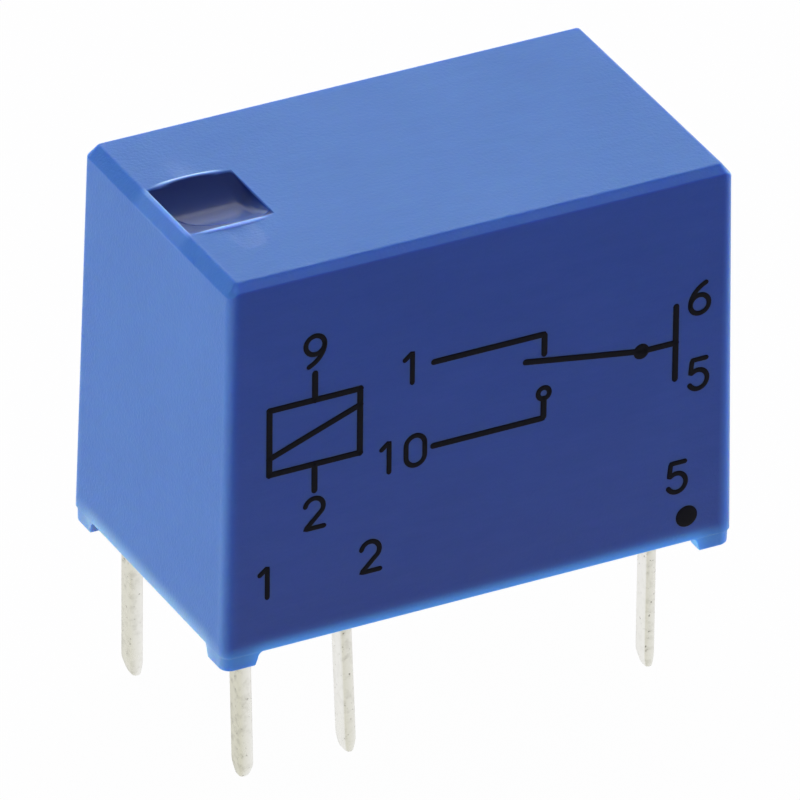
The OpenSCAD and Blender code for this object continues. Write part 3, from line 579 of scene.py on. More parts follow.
# Half widths and thicknesses of a pin's tip, from its end upwards: level, share of width, of thickness
PIN_W, STRIP_T, PITCH = 0.5, 0.3, 2.54
tip = np.array([
    [-3.5, 0.36, 0.46], [-3.49, 0.47, 0.6], [-3.46, 0.56, 0.7], [-3.4, 0.67, 0.79],
    [-3.3, 0.82, 0.89], [-3.2, 0.95, 0.97], [-3.15, 0.985, 0.99], [-3.1, 1.0, 1.0], [-2.0, 1, 1],
    [-1.0, 1, 1], [0.3, 1, 1], [1.3, 1, 1],
])
print("pin:", len(tip), "levels from", tip[0, 0], "to", tip[-1, 0], "mm")

# %% [markdown]
# The two contact terminals rise from pins 1 and 10 as blades, reach across with an arm and fold over into
# the tab that carries the fixed contact. The path goes up and turns a quarter circle, while tables of
# levels and limits give the two edges. Real pins are never quite straight, so each leans a little.

# %% Contact terminals
CONTACT_X = -4.28
BLADE_OUT, BLADE_IN, TAB_HALF = 2.896, 0.9, 0.65
# Height at which the pin widens into the blade, and radius of the bend between blade and tab
SHOULDER_Z, BEND_R = 1.59, 0.15
# Sideways place of each pin's root, of its tip, its size against the nominal one, how far the end's point
# stands off the middle (a share of what the end has lost in width), and the side painted darker as shade,
# with more flux
stance = {
    "normally_closed_terminal": (-0.02, 0.11, 1.07, 0.15, (-1, 0, 0)),
    "normally_open_terminal": (-0.09, -0.06, 1.07, -0.6, (-0.7, 0, 0)),
    "coil_terminal_front": (-0.08, 0.12, 1.0, 0.0, (0, -0.85, 0)),
    "coil_terminal_rear": (0.02, -0.03, 1.0, 0.2, (0, 0.6, 0)),
    "common_terminal": (-0.09, -0.06, 0.89, -0.5, (0, -0.85, 0)),
}
# What pin 10 is longer, and pins 5 and 6 are shorter, than the others
cut_longer = {"normally_open_terminal": 0.15, "common_terminal": -0.15}
# Share of the missing width that a blunter end gets back
blunter = {"coil_terminal_front": 0.7}


def standing(rows, name):
    """The rows pushed along X: root and tip by their own amounts, straight between, none above 1.3 mm.
    Below the resin the section is also a little thicker or thinner about its own middle, and the end's
    point is moved in Y by its share of the width that is lost there, and in X the other way. A longer or
    shorter pin is stretched evenly over its upper 3 mm."""
    root, end, size, lean = stance[name][:4]
    z = rows[..., 2]
    grown = 1 + (size - 1) * np.interp(z, [0.3, 1.2], [1, 0])
    middle = rows.mean(1, keepdims=True)
    out = middle + (rows - middle) * np.stack([grown, grown, np.ones_like(z)], -1)
    share = np.interp(z, tip[:, 0], tip[:, 1])
    out[..., 1] += (out - middle)[..., 1] * blunter.get(name, 0) * (1 - share) / share
    out[..., 0] += np.interp(z, [-3.5, 0.3, 1.3], [end, root, 0])
    out[..., 0] -= lean * (1 - np.interp(z, tip[:, 0], tip[:, 2])) * STRIP_T / 2
    out[..., 1] += lean * (1 - share) * PIN_W / 2
    out[..., 2] -= cut_longer.get(name, 0) * np.clip(-z / 3, 0, 1)
    return out


def terminal(name, suffix, edges, normal, thick, radius):
    """Strip as it stands, marked below the cover on the side with painted shade and more flux. An X side
    runs out over the faces next to it, to 0 past their middle. A Y side has one value at its -X edge, a
    tenth of it at +X."""
    rows = standing(strip(*edges, np.broadcast_to(normal, edges[0].shape), thick, radius), name)
    side = np.array(stance[name][4])
    off = rows - rows.mean(1, keepdims=True)
    reach = off @ side
    reach = reach / reach.max(1, keepdims=True)
    across = off[..., 0] / np.abs(off[..., 0]).max(1, keepdims=True)
    shaded_stained_side = np.clip((reach + 0.1) / 1.1, 0, 1) if side[0] else (reach > 0.9) * (1 - 0.45 * (1 + across))
    piece = make_piece(name + suffix, rows, strip_faces(rows), tinned_alloy)
    mark(piece, "shaded_stained_side", shaded_stained_side * np.linalg.norm(side) * (rows[..., 2] < 0.6))
    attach(piece, "housing")
    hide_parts(name)


def contact_terminal(name, side, tab_z):
    """Up the pin and the blade at x = -5.08, round a quarter circle of 0.15, and along the tab."""
    middle = side * PITCH
    levels = np.concatenate([tip[:, 0], SHOULDER_Z + np.array([-0.01, 0.01, 0.03]),
                             tab_z - np.array([0.47, 0.45, 0.43, 0.35, 0.02, 0])])
    share = np.concatenate([tip[:, 1], np.ones(len(levels) - len(tip))])
    pin_out, pin_in = middle + side * share * PIN_W / 2, middle - side * share * PIN_W / 2
    shoulder = [SHOULDER_Z, SHOULDER_Z + 0.02]
    out_at = [*shoulder, tab_z - 0.35, tab_z - 0.02, tab_z - 0.01]
    out_y = [PITCH + PIN_W / 2, BLADE_OUT, BLADE_OUT, BLADE_OUT - 0.33, TAB_HALF]
    in_at = [*shoulder, tab_z - 0.455, tab_z - 0.445]
    in_y = [PITCH - PIN_W / 2, BLADE_IN, BLADE_IN, -TAB_HALF]
    a = np.where(levels < SHOULDER_Z, pin_out, side * np.interp(levels, out_at, out_y))
    b = np.where(levels < SHOULDER_Z, pin_in, side * np.interp(levels, in_at, in_y))
    turn = np.radians(np.linspace(180, 90, 7)[1:])
    tab_x = np.array([-4.9, -4.3, -3.68, -3.64, -3.63])
    path_x = np.concatenate([0 * levels, BEND_R * (1 + np.cos(turn)), tab_x + 2 * PITCH]) - 2 * PITCH
    path_z = np.concatenate([levels, tab_z + BEND_R * np.sin(turn), np.full_like(tab_x, tab_z + BEND_R)])
    beyond = np.full(len(path_x) - len(levels), side * TAB_HALF)
    normal = np.zeros((len(path_x), 3))
    normal[:, 0] = np.concatenate([np.full_like(levels, -1), np.cos(turn), 0 * tab_x])
    normal[:, 2] = np.concatenate([0 * levels, np.sin(turn), np.ones_like(tab_x)])
    thick = STRIP_T * np.concatenate([tip[:, 2], np.ones(len(path_x) - len(tip))])
    radius = np.where(path_z < SHOULDER_Z, 0.07, 0.04)
    limits = np.concatenate([a, beyond]), np.concatenate([b, -beyond])
    edges = [np.stack([path_x, limit, path_z], -1) for limit in limits]
    terminal(name, "_strip", edges, normal, thick, radius)


contact_terminal("normally_closed_terminal", -1, 8.45)
contact_terminal("normally_open_terminal", 1, 6.54764)

# %% [markdown]
# The coil's terminals are straight: above the bobbin's lug the strip narrows to a post for the wire.
# The common terminal is one bridge with two legs, pins 5 and 6, lying flat against the yoke. Its path
# goes up one leg, over the bar and down the other, and the corners are simply cut in its two edges.

# %% Coil terminals and the common bridge
POST_Z, POST_TOP, POST_OUT, POST_IN = 2.6, 3.6, 2.59, 2.29


def coil_terminal(name, side):
    """Pin up to 2.6 mm, then a post of 0.3 mm flush with the pin's inner edge, up to 3.6 mm."""
    levels = [POST_Z - 0.01, POST_Z + 0.01, POST_TOP - 0.05, POST_TOP - 0.01, POST_TOP]
    levels = np.concatenate([tip[:, 0], levels])
    share = np.concatenate([tip[:, 1], [1, 0, 0, 0, 0]])
    outer = np.where(levels < POST_Z, PITCH + share * PIN_W / 2, POST_OUT)
    inner = np.where(levels < POST_Z, PITCH - share * PIN_W / 2, POST_IN)
    outer[-1], inner[-1] = POST_OUT - 0.03, POST_IN + 0.03
    thick = STRIP_T * np.concatenate([tip[:, 2], [1, 1, 1, 1, 0.85]])
    edges = [np.stack([np.full_like(levels, -PITCH), side * limit, levels], -1) for limit in (outer, inner)]
    terminal(name, "_strip", edges, (1.0, 0, 0), thick, 0.07)


coil_terminal("coil_terminal_front", -1)
coil_terminal("coil_terminal_rear", 1)

# Y and Z of the bridge's outer and inner edge above pin 5's end, up to its middle
above = [
    [(-2.79, 1.58), (-2.79, 1.6), (-2.79, 1.62), (-2.79, 2.2), (-2.79, 3.3), (-2.77, 3.38),
     (-2.52, 3.64), (-2.44, 3.69), (-2.3, 3.7), (-1.6, 3.7), (-0.8, 3.7), (0, 3.7)],
    [(-2.29, 1.58), (-2.2, 1.6), (-1.99, 1.62), (-1.99, 2.1), (-1.99, 2.28), (-1.97, 2.34),
     (-1.7, 2.61), (-1.64, 2.64), (-1.55, 2.65), (-1.3, 2.65), (-0.7, 2.65), (0, 2.65)],
]
edges = []
for side, corners in zip((-1, 1), above):
    leg = np.stack([side * PIN_W / 2 * tip[:, 1] - PITCH, tip[:, 0]], -1)
    half = np.concatenate([leg, corners])
    whole = np.concatenate([half, half[-2::-1] * (-1, 1)])
    edges.append(np.stack([np.full(len(whole), 2 * PITCH), *whole.T], -1))
thick = np.concatenate([tip[:, 2], np.ones(len(above[0]))]) * STRIP_T
terminal("common_terminal", "_bridge", edges, (1.0, 0, 0), np.concatenate([thick, thick[-2::-1]]), 0.06)

# %% [markdown]
# The underside is closed with epoxy that is poured in and cured. A liquid climbs a little on everything
# it wets, so its face curves up along the walls and round every pin, and sinks slightly in the middle.
# That is one height formula over a tray: the rise dies away exponentially with the distance.

# %% Sealing resin
cast_epoxy, _ = clouded("epoxy, poured and cured", ("#24282E", "#353A42"), {"Scale": 0.8, "Detail": 4.0},
                        0.03, {"Roughness": 0.16, "IOR": 1.55})

resin_tray = Tray(np.linspace(-1, 1, 121), np.linspace(-1, 1, 71))
RESIN_LOW, RESIN_TOP = 0.6, 1.0
# Half sizes inside the walls at its lower face
resin_x = HALF_L - DRAFT * (RESIN_LOW - WALL_Z) - WALL_T
resin_y = HALF_W - DRAFT * (RESIN_LOW - WALL_Z) - WALL_T
x, y = resin_tray.place(resin_x, resin_y, EDGE_R)
from_wall = np.minimum(resin_x - np.abs(x), resin_y - np.abs(y))
# The rise at the walls and at the pins, and the distance over which each dies away
WALL_RISE, WALL_REACH, PIN_RISE, PIN_REACH = 0.1, 0.15, 0.09, 0.1
low = RESIN_LOW + 0.02 - WALL_RISE * np.exp(-from_wall / WALL_REACH)
for pin_x in (-2 * PITCH, -PITCH, 2 * PITCH):
    for pin_y in (-PITCH, PITCH):
        dx = np.maximum(np.abs(x + COVER_SHIFT - pin_x) - STRIP_T / 2, 0)
        dy = np.maximum(np.abs(y - pin_y) - PIN_W / 2, 0)
        low = low - PIN_RISE * np.exp(-np.hypot(dx, dy) / PIN_REACH)
under = np.stack([x, y, low], -1).reshape(-1, 3)
upper = np.stack([x, y, np.full_like(x, RESIN_TOP)], -1).reshape(-1, 3)
side_rims = np.stack([resin_tray.rim, resin_tray.rim + len(under)])
resin_faces = np.concatenate([
    quads(resin_tray.table), quads(around(side_rims)),
    quads(resin_tray.table + len(under))[:, ::-1],
])
resin = make_piece(
    "resin_face", np.concatenate([under, upper]) + [COVER_SHIFT, 0, 0], resin_faces, cast_epoxy
)
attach(resin, "housing")
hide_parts("sealing_resin")

# %% [markdown]
# The front is printed in black by a soft pad that presses the ink on. The film is a hundredth of a
# millimetre thick, and its strokes have round ends. The print here is a plain wiring diagram of a
# changeover relay with its pin numbers. Each stroke is a ribbon: half its width is the chord of the pen's
# round point, which closes both ends in half circles, and its middle stands a little proud of the wall.

# %% Print on the front
# Its fine pigment traps light: hardly any sheen
pad_ink, _ = clouded("ink, pad-printed black", ("#08090E", "#101219"), {"Scale": 9.0, "Detail": 2.0},
                     0.004, {"Roughness": 0.6, "IOR": 1.5, "Specular IOR Level": 0.1})
INK_T, SUNK = 0.01, -0.004
print_points, print_faces = [], []


def on_front(x, z, lift):
    """Points that stand a lift off the front wall, which leans back by tan(0.95 degrees) per millimetre."""
    return np.stack([x + COVER_SHIFT, -(HALF_W - DRAFT * (z - WALL_Z)) - lift, z], -1).reshape(-1, 3)


def pen(line, width):
    """Ribbon of a width along a line on the front wall, with round ends."""
    line = np.asarray(line, float)
    r = width / 2
    step = np.linalg.norm(np.diff(line, axis=0), axis=1)
    first = line[0] - (line[1] - line[0]) / step[0] * r
    last = line[-1] + (line[-1] - line[-2]) / step[-1] * r
    line = np.concatenate([[first], line, [last]])
    run = np.concatenate([[0], np.cumsum(np.linalg.norm(np.diff(line, axis=0), axis=1))])
    end = r * (1 - np.cos(np.radians(np.linspace(4, 90, 7))))
    # Rounded, because two stations at almost the same place would leave no direction between them
    s = np.unique(np.round(np.concatenate([
        end, np.linspace(r, run[-1] - r, 2 + int(run[-1] / 0.04)), run[-1] - end]), 4))
    p = np.stack([np.interp(s, run, line[:, k]) for k in (0, 1)], -1)
    t = np.gradient(p, s, axis=0)
    t = t / np.linalg.norm(t, axis=1)[:, None]
    inward = np.clip(np.minimum(s, run[-1] - s), 0, r)
    half = np.sqrt(r ** 2 - (r - inward) ** 2)[:, None]
    across = np.array([-1, -0.85, -0.4, 0.4, 0.85, 1])
    lift = np.array([SUNK, 0.7 * INK_T, INK_T, INK_T, 0.7 * INK_T, SUNK])
    x = p[:, :1] - t[:, 1:] * half * across
    z = p[:, 1:] + t[:, :1] * half * across
    table = sum(len(q) for q in print_points) + np.arange(x.size).reshape(x.shape)
    print_points.append(on_front(x, z, lift + 0 * x))
    print_faces.append(quads(table)[:, ::-1])


def arc(x, y, rx, ry, start, end, steps=18):
    """Points of an ellipse's arc between two angles in degrees."""
    a = np.radians(np.linspace(start, end, steps))
    return np.stack([x + rx * np.cos(a), y + ry * np.sin(a)], -1)


# Strokes of the numerals in a cell 0.62 wide and 1 high
six = [np.concatenate([arc(0.95, 0.31, 0.95, 0.78, 118, 176, 10),
                      arc(0.31, 0.31, 0.31, 0.31, 180, 540, 30)])]
numerals = {
    "0": [np.concatenate([arc(0.31, 0.69, 0.31, 0.31, 0, 180), arc(0.31, 0.31, 0.31, 0.31, 180, 360),
                          [(0.62, 0.69)]])],
    "1": [np.array([(0.12, 0.8), (0.36, 1.0), (0.36, 0.0)])],
    "2": [np.concatenate([arc(0.31, 0.7, 0.3, 0.3, 165, -35), [(0.02, 0.0), (0.62, 0.0)]])],
    "5": [np.concatenate([[(0.56, 1.0), (0.1, 1.0), (0.05, 0.54)],
                          arc(0.3, 0.32, 0.31, 0.32, 128, -150, 26)])],
    "6": six,
    "9": [(0.62, 1.0) - stroke for stroke in six],
}


SIGN_H, SIGN_STEP, BOLD, FINE = 0.74, 0.92, 0.16, 0.13


def write(text, x, z):
    """Numerals 0.74 mm high from the left end x on the base line z."""
    for place, sign in enumerate(text):
        for stroke in numerals[sign]:
            pen(stroke * SIGN_H + (x + place * SIGN_STEP * SIGN_H, z), FINE)


# Coil: a box with two ends, pins 2 and 9
x0, x1, z0, z1 = -5.2, -3.0, 4.75, 6.35
middle = (x0 + x1) / 2
for line in ([(x0, z0), (x1, z0)], [(x1, z0), (x1, z1)], [(x1, z1), (x0, z1)], [(x0, z1), (x0, z0)],
             [(x0, z0 + 0.4), (x1, z1 - 0.4)], [(middle, z1), (middle, 7.0)], [(middle, z0), (middle, 4.1)]):
    pen(line, BOLD)
write("9", middle - 0.23, 7.2)
write("2", middle - 0.23, 3.15)
# Changeover contact: the arm rests on the upper side, pins 1 and 10 at the left, 5 and 6 at the right
for line in ([(-1.2, 6.55), (1.5, 6.55), (1.5, 6.07)], [(-1.2, 4.45), (1.5, 4.45), (1.5, 4.93)],
             [(1.05, 5.96), (3.9, 5.5)], [(3.9, 5.5), (4.75, 5.5)]):
    pen(line, BOLD)
pen(arc(1.5, 5.07, 0.14, 0.14, 0, 360, 24), FINE)
pen(arc(3.9, 5.5, 0.1, 0.1, 0, 360, 24), 0.2)
pen([(4.75, 6.4), (4.75, 4.6)], BOLD)
# The last three are pin numbers over the pins of the front row
for text, x, z in (("1", -2.0, 6.18), ("10", -2.55, 4.08), ("6", 5.1, 6.1), ("5", 5.1, 4.2),
                   ("1", -5.5, 1.7), ("2", -2.95, 1.7), ("5", 4.62, 1.7)):
    write(text, x, z)
# Round dot beside the common pins: rings round its middle, and a hub
turn = np.linspace(0, 2 * np.pi, 33)[:-1]
dot_r, dot_lift = np.array([[0.02, 0.15, 0.25, 0.275], [INK_T, INK_T, 0.8 * INK_T, SUNK]])[..., None]
dot_x, dot_z = 5.11 + dot_r * np.cos(turn), 1.017 + dot_r * np.sin(turn)
table = sum(len(q) for q in print_points) + np.arange(dot_x.size).reshape(dot_x.shape)
print_points.append(on_front(dot_x, dot_z, dot_lift + 0 * dot_x))
print_faces.append(quads(around(table)))
hub = table[0, ::-1].tolist()
printed = make_piece(
    "front_print", np.concatenate(print_points), np.concatenate(print_faces).tolist() + [hub],
    pad_ink, closed=False,
)
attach(printed, "housing")

# %% [markdown]
# The metals inside are bronze, iron, silver and steel, each rolled, plated, coined or headed, and frozen
# solder. What sets them apart for the eye is their tone and how evenly they shine. So they share one
# function: faint clouds between two tones, and a gloss that varies with the clouds.

# %% Finishes of the metals inside
def metal(name, dark, light, rough, scale, stretch=(1, 1, 1)):
    """Metal with clouds between two colours and uneven gloss, its grain stretched along one axis."""
    noise = {"Scale": scale, "Detail": 4.0, "Roughness": 0.6}
    finish, cloud = clouded(name, (dark, light), noise, 0.004, {"Metallic": 1.0}, stretch)
    gloss = add(finish.node_tree, "MapRange", [cloud, 0.3, 0.7, rough - 0.07, rough + 0.07])
    fill(finish.node_tree.nodes["Principled BSDF"], {"Roughness": gloss})
    return finish


# Rolling marks run along the strip, so the bronze's grain is long in X
rolled_bronze = metal("phosphor bronze, rolled", "#B98A4C", "#D9AE6C", 0.3, 7.0, (0.1, 1, 1))
nickel_iron = metal("soft iron, nickel-plated", "#A9A79E", "#C4C3BC", 0.34, 4.0)
silver_nickel = metal("silver nickel, coined", "#D8D5CB", "#EFEDE6", 0.22, 6.0)
steel_rivet = metal("steel rivet, headed", "#A8A8A6", "#C9C9C6", 0.28, 6.0)
frozen_solder = metal("solder, frozen", "#B9BABB", "#D6D7D8", 0.25, 3.0)
print("metals:", [m.name for m in (rolled_bronze, nickel_iron, silver_nickel, steel_rivet, frozen_solder)])

# %% [markdown]
# The moving spring is one leaf of phosphor bronze: contact arm, hinge loop over the yoke's edge and foot.
# It rides on the armature at one end and stays on the yoke at the other; here leaf and loop are turned
# into the rest place about the pivot. Its path repeats the CAD hinge: straight, a quarter turn of 0.35 mm,
# and half a cosine wave back to the yoke.

# %% The moving spring
PIVOT = np.array([4.93, 6.75764])
SPRING_T, ROCK = 0.1, np.radians(3)


def rocked(points):
    """Points of the XZ plane turned about the pivot from the closed to the rest place."""
    d = np.asarray(points, float) - PIVOT
    return PIVOT + np.stack([d[..., 0] * np.cos(ROCK) + d[..., 1] * np.sin(ROCK),
                             d[..., 1] * np.cos(ROCK) - d[..., 0] * np.sin(ROCK)], -1)


LEAF_Z, HINGE_X, LOOP_R = 7.40764, 4.43, 0.35
round_tip = CONTACT_X - 0.549 * np.cos(np.radians(np.linspace(0, 90, 10)))
leaf_x = np.concatenate([round_tip, [-3.2, -2.25, -2.2, -2.15, -1.8, -1.45, -1.4, -1.35, -0.85, -0.8,
                                     -0.75, -0.3, 0.15, 0.2, 0.25, 2.0, HINGE_X]])
tip_half = np.sqrt(np.maximum(0.55 ** 2 - np.minimum(leaf_x - CONTACT_X, 0) ** 2, 0))
side_half = np.interp(leaf_x, [-2.2, -1.4, -0.8, 0.2], [0.55, 1.1, 1.1, 1.5])
leaf_half = np.where(leaf_x < CONTACT_X, tip_half, side_half)
leaf = rocked(np.stack([leaf_x, np.full_like(leaf_x, LEAF_Z)], -1))
angle = np.radians(np.linspace(90, 0, 13)) - ROCK
loop_middle = rocked([5.55 - LOOP_R, LEAF_Z - LOOP_R])
loop = loop_middle + LOOP_R * np.stack([np.cos(angle), np.sin(angle)], -1)
t = np.linspace(0, 1, 17)[1:]
FOOT_X, SWEEP_Z, FOOT_Z = 4.98, 5.225, 4.0
sweep = np.stack([FOOT_X + (loop[-1, 0] - FOOT_X) * (1 + np.cos(np.pi * t)) / 2,
                  loop[-1, 1] + (SWEEP_Z - loop[-1, 1]) * t], -1)
foot = np.array([(FOOT_X, 4.6), (FOOT_X, 4.05), (FOOT_X, FOOT_Z)])
line = np.concatenate([leaf, loop, sweep, foot])
half = np.concatenate([leaf_half, np.full(len(line) - len(leaf), 1.5)])
heading = np.gradient(line, axis=0)
heading = heading / np.linalg.norm(heading, axis=1)[:, None]
normal = np.stack([-heading[:, 1], 0 * half, heading[:, 0]], -1)
edges = [np.stack([line[:, 0], sign * half, line[:, 1]], -1) for sign in (-1, 1)]
rows = strip(*edges, normal, SPRING_T, 0.03)
spring = make_piece("hinge_spring", rows, strip_faces(rows), rolled_bronze)
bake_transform(spring)
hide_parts("moving_spring")

# %% [markdown]
# The winding is thousands of turns of enamelled wire, thinner than a hair. Drawn true they would vanish,
# so the turns are drawn 0.14 mm apart, about three times too coarse. The surface is a helix of ridges:
# the radius falls by a cusp between turns, and the phase moves on by one turn per trip round the axis.

# %% Winding
# The enamel is a clear coat over the metal
enamelled_copper, _ = clouded(
    "copper wire, polyurethane enamel", ("#A4492A", "#CC6E3F"), {"Scale": 0.7, "Detail": 3.0}, 0,
    {"Metallic": 1.0, "Roughness": 0.3, "Coat Weight": 0.6, "Coat Roughness": 0.12}, (1, 1, 7),
)

CORE_X, WINDING_R, BARREL_R = 1.0, 2.85, 1.57
WINDING_LOW, WINDING_TOP, TURNS, GROOVE, SIDES = 2.6, 5.98764, 24, 0.045, 96
round_angle = np.linspace(0, 2 * np.pi, SIDES + 1)[:-1]
level = np.linspace(0, TURNS, TURNS * 7 + 1)
turn_part, angle = np.meshgrid(level, round_angle, indexing="ij")
phase = turn_part - angle / (2 * np.pi)
crest = np.abs(np.cos(np.pi * phase))
radius = WINDING_R - GROOVE * (1 - np.sqrt(1 - (1 - crest) ** 2))
radius[[0, -1]] = WINDING_R - 0.06
height = WINDING_LOW + (WINDING_TOP - WINDING_LOW) * turn_part / TURNS
wound = np.stack([CORE_X + radius * np.cos(angle), radius * np.sin(angle), height], -1)
inner = [np.stack([CORE_X + BARREL_R * np.cos(round_angle), BARREL_R * np.sin(round_angle),
                   np.full(SIDES, z)], -1)[None] for z in (WINDING_TOP, WINDING_LOW)]
wound = np.concatenate([wound, *inner])
table = np.arange(len(wound) * SIDES).reshape(-1, SIDES)
table = np.concatenate([table, table[:1]])
winding = make_piece("wound_coil", wound, quads(around(table)), enamelled_copper)
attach(winding, "housing")
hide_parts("winding")

# %% [markdown]
# The wire's two ends leave the winding, cross to the coil posts and are wrapped round them four times
# before they are soldered. A tube follows the path: a smooth bridge, then a helix.

# %% Lead wires
def tube(path, radius, sides=10):
    """Rings of a round tube: point + radius * (u cos + w sin), u level and square to the path."""
    ahead = np.gradient(path, axis=0)
    ahead = ahead / np.linalg.norm(ahead, axis=1)[:, None]
    u = np.cross(ahead, [0, 0, 1])
    u = u / np.linalg.norm(u, axis=1)[:, None]
    w = np.cross(u, ahead)
    a = np.linspace(0, 2 * np.pi, sides + 1)[:-1][None, :, None]
    return path[:, None] + radius * (u[:, None] * np.cos(a) + w[:, None] * np.sin(a))


POST_Y, WRAP_R, WRAP_Z, WIRE_R, WRAPS, WRAP_STEP = 2.44, 0.241, 2.7, 0.05, 4, 0.11
start_angle, start_r = np.radians(128), WINDING_R + WIRE_R
lead_start = np.array([CORE_X + start_r * np.cos(start_angle), start_r * np.sin(start_angle), 3.1])
t = np.linspace(0, 1, 97)[:, None]
wrap_angle = np.radians(-75) - 2 * np.pi * WRAPS * t
helix = np.concatenate([-PITCH + WRAP_R * np.cos(wrap_angle), POST_Y + WRAP_R * np.sin(wrap_angle),
                        WRAP_Z + WRAP_STEP * WRAPS * t], 1)
knots = np.array([lead_start, lead_start + (-0.25, 0, -0.1), helix[0] + (0.3, 0.05, 0.03), helix[0]])
s = np.linspace(0, 1, 25)[:-1, None]
bridge_path = ((1 - s) ** 3 * knots[0] + 3 * s * (1 - s) ** 2 * knots[1]
               + 3 * s ** 2 * (1 - s) * knots[2] + s ** 3 * knots[3])
lead_path = np.concatenate([bridge_path, helix])
for name, side in (("coil_lead_front", -1), ("coil_lead_rear", 1)):
    rows = tube(lead_path * (1, side, 1), WIRE_R)
    lead = make_piece(name + "_wire", rows, strip_faces(rows), enamelled_copper)
    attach(lead, "housing")
    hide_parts(name)

# %% [markdown]
# The remaining solids already have their real shape, so only their material slots are filled.
# The base is polyester with a third of short glass fibres, black and slightly rough, with pale flecks.
# The bobbin is the same resin without colour, so it stays the warm white of the raw granules.

# %% Finish: moulded plastics inside
def moulded(name, dark, light, rough, fleck):
    """Plastic with fine grain, and a share of pale flecks where fibres reach the surface."""
    finish, tree, shader = new_finish(name)
    mm = in_mm(tree)
    tone = add(tree, "TexNoise", {"Vector": mm, "Scale": 1.2, "Detail": 3.0})
    colour = add(tree, "Mix", {0: tone, 6: dark, 7: light})
    # A fibre is 0.01 mm thick and 0.2 mm long, drawn here four times as thick so that it shows
    fibres = add(tree, "TexNoise", {"Vector": in_mm(tree, (1, 5, 5)), "Scale": 5.0, "Detail": 1.0})
    shows = add(tree, "MapRange", [fibres, 0.68, 0.76, 0.0, fleck])
    flecked = add(tree, "Mix", {0: shows, 6: colour, 7: "#8E8C86"})
    grain = add(tree, "TexNoise", {"Vector": mm, "Scale": 12.0, "Detail": 2.0})
    bump = add(tree, "Bump", {"Height": grain, "Distance": 0.006 * MM, "Strength": 1.0})
    fill(shader, {"Base Color": flecked, "Normal": bump, "Roughness": rough})
    return finish


glass_polyester = moulded("polyester, black, glass-filled", "#17181A", "#222325", 0.5, 0.5)
natural_polyester = moulded("polyester, natural, moulded", "#D9D3BE", "#E6E1CF", 0.42, 0.0)
finish_of = {
    "base": glass_polyester, "bobbin": natural_polyester, "core": nickel_iron, "yoke": nickel_iron,
    "armature": nickel_iron, "moving_contact": silver_nickel, "armature_rivets": steel_rivet,
    "spring_rivets": steel_rivet, "terminal_rivets": steel_rivet,
    "normally_closed_contact": silver_nickel, "normally_open_contact": silver_nickel,
    "solder_front": frozen_solder, "solder_rear": frozen_solder,
}
for name, finish in finish_of.items():
    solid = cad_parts[name]
    if not solid.material_slots:
        solid.data.materials.append(finish)
    for material_slot in solid.material_slots:
        material_slot.material = finish
print("solids with a new finish:", len(finish_of))

# %% [markdown]
# The stage is a white sweep: floor, a wide bend and a wall behind. Seen by the camera and in reflections
# it is plain white, through the Light Path node, while for all other light it is an ordinary pale
# surface, so it doesn't flood the part. A share of the shaded surface stays in, to keep the shadow.

# %% Floor and backdrop
def white_if_seen(name, share, otherwise):
    """White light by a share where the camera or a reflection sees it, else the other shader."""
    finish, tree, shader = new_finish(name)
    tree.nodes.remove(shader)
    ray = add(tree, "LightPath").outputs
    seen = add(tree, "Math MAXIMUM", [ray["Is Camera Ray"], ray["Is Glossy Ray"]])
    seen = add(tree, "Math MAXIMUM", [seen, ray["Is Transmission Ray"]])
    part = add(tree, "Math MULTIPLY", [seen, share])
    white = add(tree, "Emission", {"Color": "#FFFFFF", "Strength": 1.0})
    both = add(tree, "MixShader", [part, add(tree, *otherwise), white])
    fill(tree.nodes["Material Output"], {"Surface": both})
    return finish


paper = white_if_seen("paper sweep, matte white", 0.985, ("BsdfDiffuse", {"Color": "#B3ABC4"}))
FLOOR_Z, REACH, BEND = -3.652, 400.0, 60.0
turn = np.radians(np.linspace(-90, 0, 13))
sweep_line = np.concatenate([
    [(-REACH, FLOOR_Z)],
    np.stack([REACH - BEND + BEND * np.cos(turn), FLOOR_Z + BEND + BEND * np.sin(turn)], -1),
    [(REACH, 300.0)],
])
side = np.array([-REACH, REACH])
run = sweep_line[:, 0][:, None] + 0 * side
rise = sweep_line[:, 1][:, None] + 0 * side
# The sweep faces the camera, which stands 28 degrees round from the front
facing = np.radians(-27.99)
across = side[None] + 0 * run
points = np.stack([across * np.cos(facing) - run * np.sin(facing),
                   across * np.sin(facing) + run * np.cos(facing), rise], -1)
table = np.arange(points.size // 3).reshape(points.shape[:2])
backdrop = make_piece("paper_sweep", points, quads(table), paper, closed=False)
# It casts no shadow itself, so the low light from the left comes up through it
backdrop.visible_shadow = False

# %% [markdown]
# Seen level from any side but the front, the part would stand before the coloured world. A ring of paper
# closes the studio all round, a hand high. It is there only for the camera and for gloss: for all other
# light it is transparent, so it changes nothing on the part.

# %% Ring of paper round the studio
ring_paper = white_if_seen("paper ring, white", 1.0, ("BsdfTransparent",))
RING_R, RING_LOW, RING_TOP = 560, -30.0, 80.0
# Each point: radius times cosine and sine of its angle, at the ring's foot or its top
angle, height = np.meshgrid(np.radians(np.linspace(0, 360, 97)), [RING_LOW, RING_TOP], indexing="ij")
points = np.stack([RING_R * np.cos(angle), RING_R * np.sin(angle), height], -1)
table = np.arange(angle.size).reshape(angle.shape)
ring = make_piece("paper_ring", points, quads(table)[:, ::-1], ring_paper, closed=False)
ring.visible_shadow = False
print("ring of paper:", len(ring.data.polygons), "faces")

# %% [markdown]
# A soft, even light from above, behind and the left, as the photograph has it: roof and left wall are
# bright, the printed wall lies in shade. A weaker one grazes the front from the right, and very little
# comes straight from the front. Sun lamps with a wide angle act like large softboxes and need no distance.
# The world fills the rest at a low, bluish level, and metal mirrors it as a neutral grey.

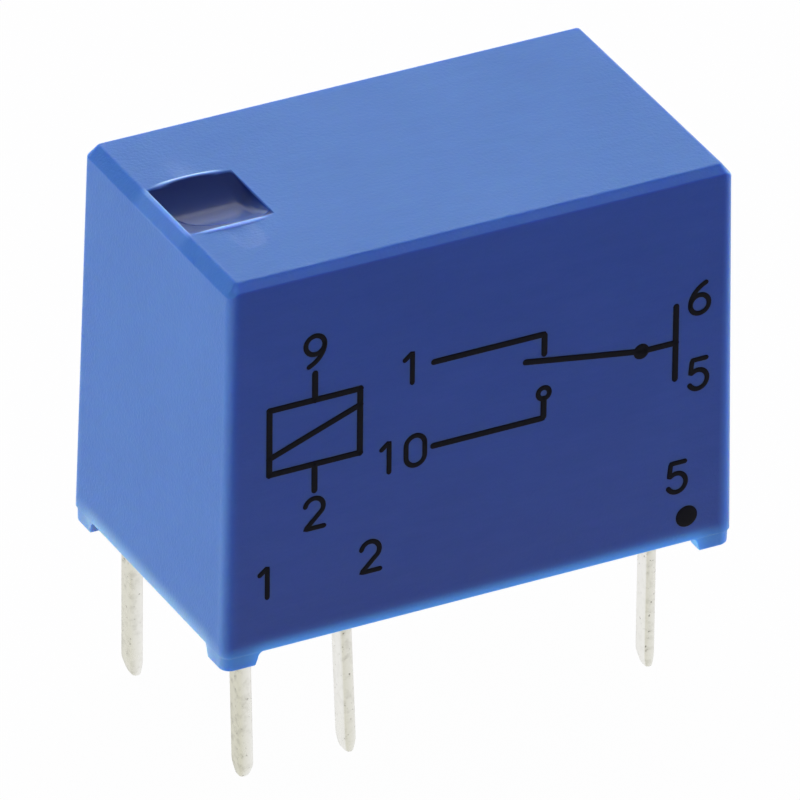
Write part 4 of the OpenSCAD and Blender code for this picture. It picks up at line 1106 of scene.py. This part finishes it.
# %% Light
def softbox(name, toward, strength, angle, colour="#FFFFFF"):
    """Sun lamp whose light comes from the direction toward, spread over an angle in degrees."""
    lamp = bpy.data.lights.new(name, "SUN")
    lamp.energy = strength
    lamp.angle = np.radians(angle)
    lamp.color = linear(colour)[:3]
    held = bpy.data.objects.new(name, lamp)
    held.rotation_euler = Vector(toward).to_track_quat("Z", "Y").to_euler()
    # Gloss shows the white sweep and the dark above it, not the lamps themselves
    held.visible_glossy = False
    bpy.context.scene.collection.objects.link(held)
    return held


softbox("above_behind", (0.3, 0.7, 0.65), 4.5, 80, "#FFFFF0")
softbox("left", (-1.0, 0.45, -0.25), 3.08, 60, "#EBFFF7")
softbox("right", (1.0, 0.25, 0.1), 1.1, 40, "#F0F8FF")
softbox("fill_front", (0.15, -1.0, -0.25), 0.28, 90, "#CC98FF")
# The one that gloss does show: a low, wide window behind the part, which lays a pale sheen on the roof
softbox("window_behind", (0.38, 0.83, 0.25), 1.7, 46).visible_glossy = True
world = bpy.data.worlds.new("studio")
world.use_nodes = True
for_gloss = add(world.node_tree, "LightPath").outputs["Is Glossy Ray"]
sky = add(world.node_tree, "Mix", {0: for_gloss, 6: "#C4A9FF", 7: "#C4C6CC"})
fill(world.node_tree.nodes["Background"], {"Color": sky, "Strength": 0.32})
bpy.context.scene.world = world
bpy.context.scene.view_settings.view_transform = "Standard"

# %% [markdown]
# The photograph was taken from far away with a long lens. The camera's place, turn and lens come from
# the part's own edges in the picture: eight corners of the cover were matched to about one pixel.

# %% Camera
# Focal length, side of the picture and shift of its middle in pixels, distance in metres, target in mm
FOCAL, SIDE, SHIFT, DISTANCE, TARGET = 15355, 800, (-4.695, -6.35), 0.337, (0.22, 0, 3.5)
azimuth, elevation, roll = np.radians([-27.99, 30.88, 1.10])
back = Vector((np.sin(azimuth) * np.cos(elevation), -np.cos(azimuth) * np.cos(elevation),
               np.sin(elevation)))
level_right = Vector((0, 0, 1)).cross(back).normalized()
level_up = back.cross(level_right)
right = level_right * np.cos(roll) + level_up * np.sin(roll)
up = level_up * np.cos(roll) - level_right * np.sin(roll)
lens = bpy.data.cameras.new("long_lens")
lens.sensor_width = 36.0
lens.lens = FOCAL / SIDE * lens.sensor_width
lens.shift_x, lens.shift_y = SHIFT[0] / SIDE, SHIFT[1] / SIDE
lens.clip_end = 10.0
camera = bpy.data.objects.new("camera", lens)
turned = Matrix((right, up, back)).transposed().to_4x4()
camera.matrix_world = Matrix.Translation(Vector(TARGET) * MM + back * DISTANCE) @ turned
bpy.context.scene.collection.objects.link(camera)
bpy.context.scene.camera = camera
print("camera", round(lens.lens, 1), "mm lens at", [round(v, 4) for v in camera.location])
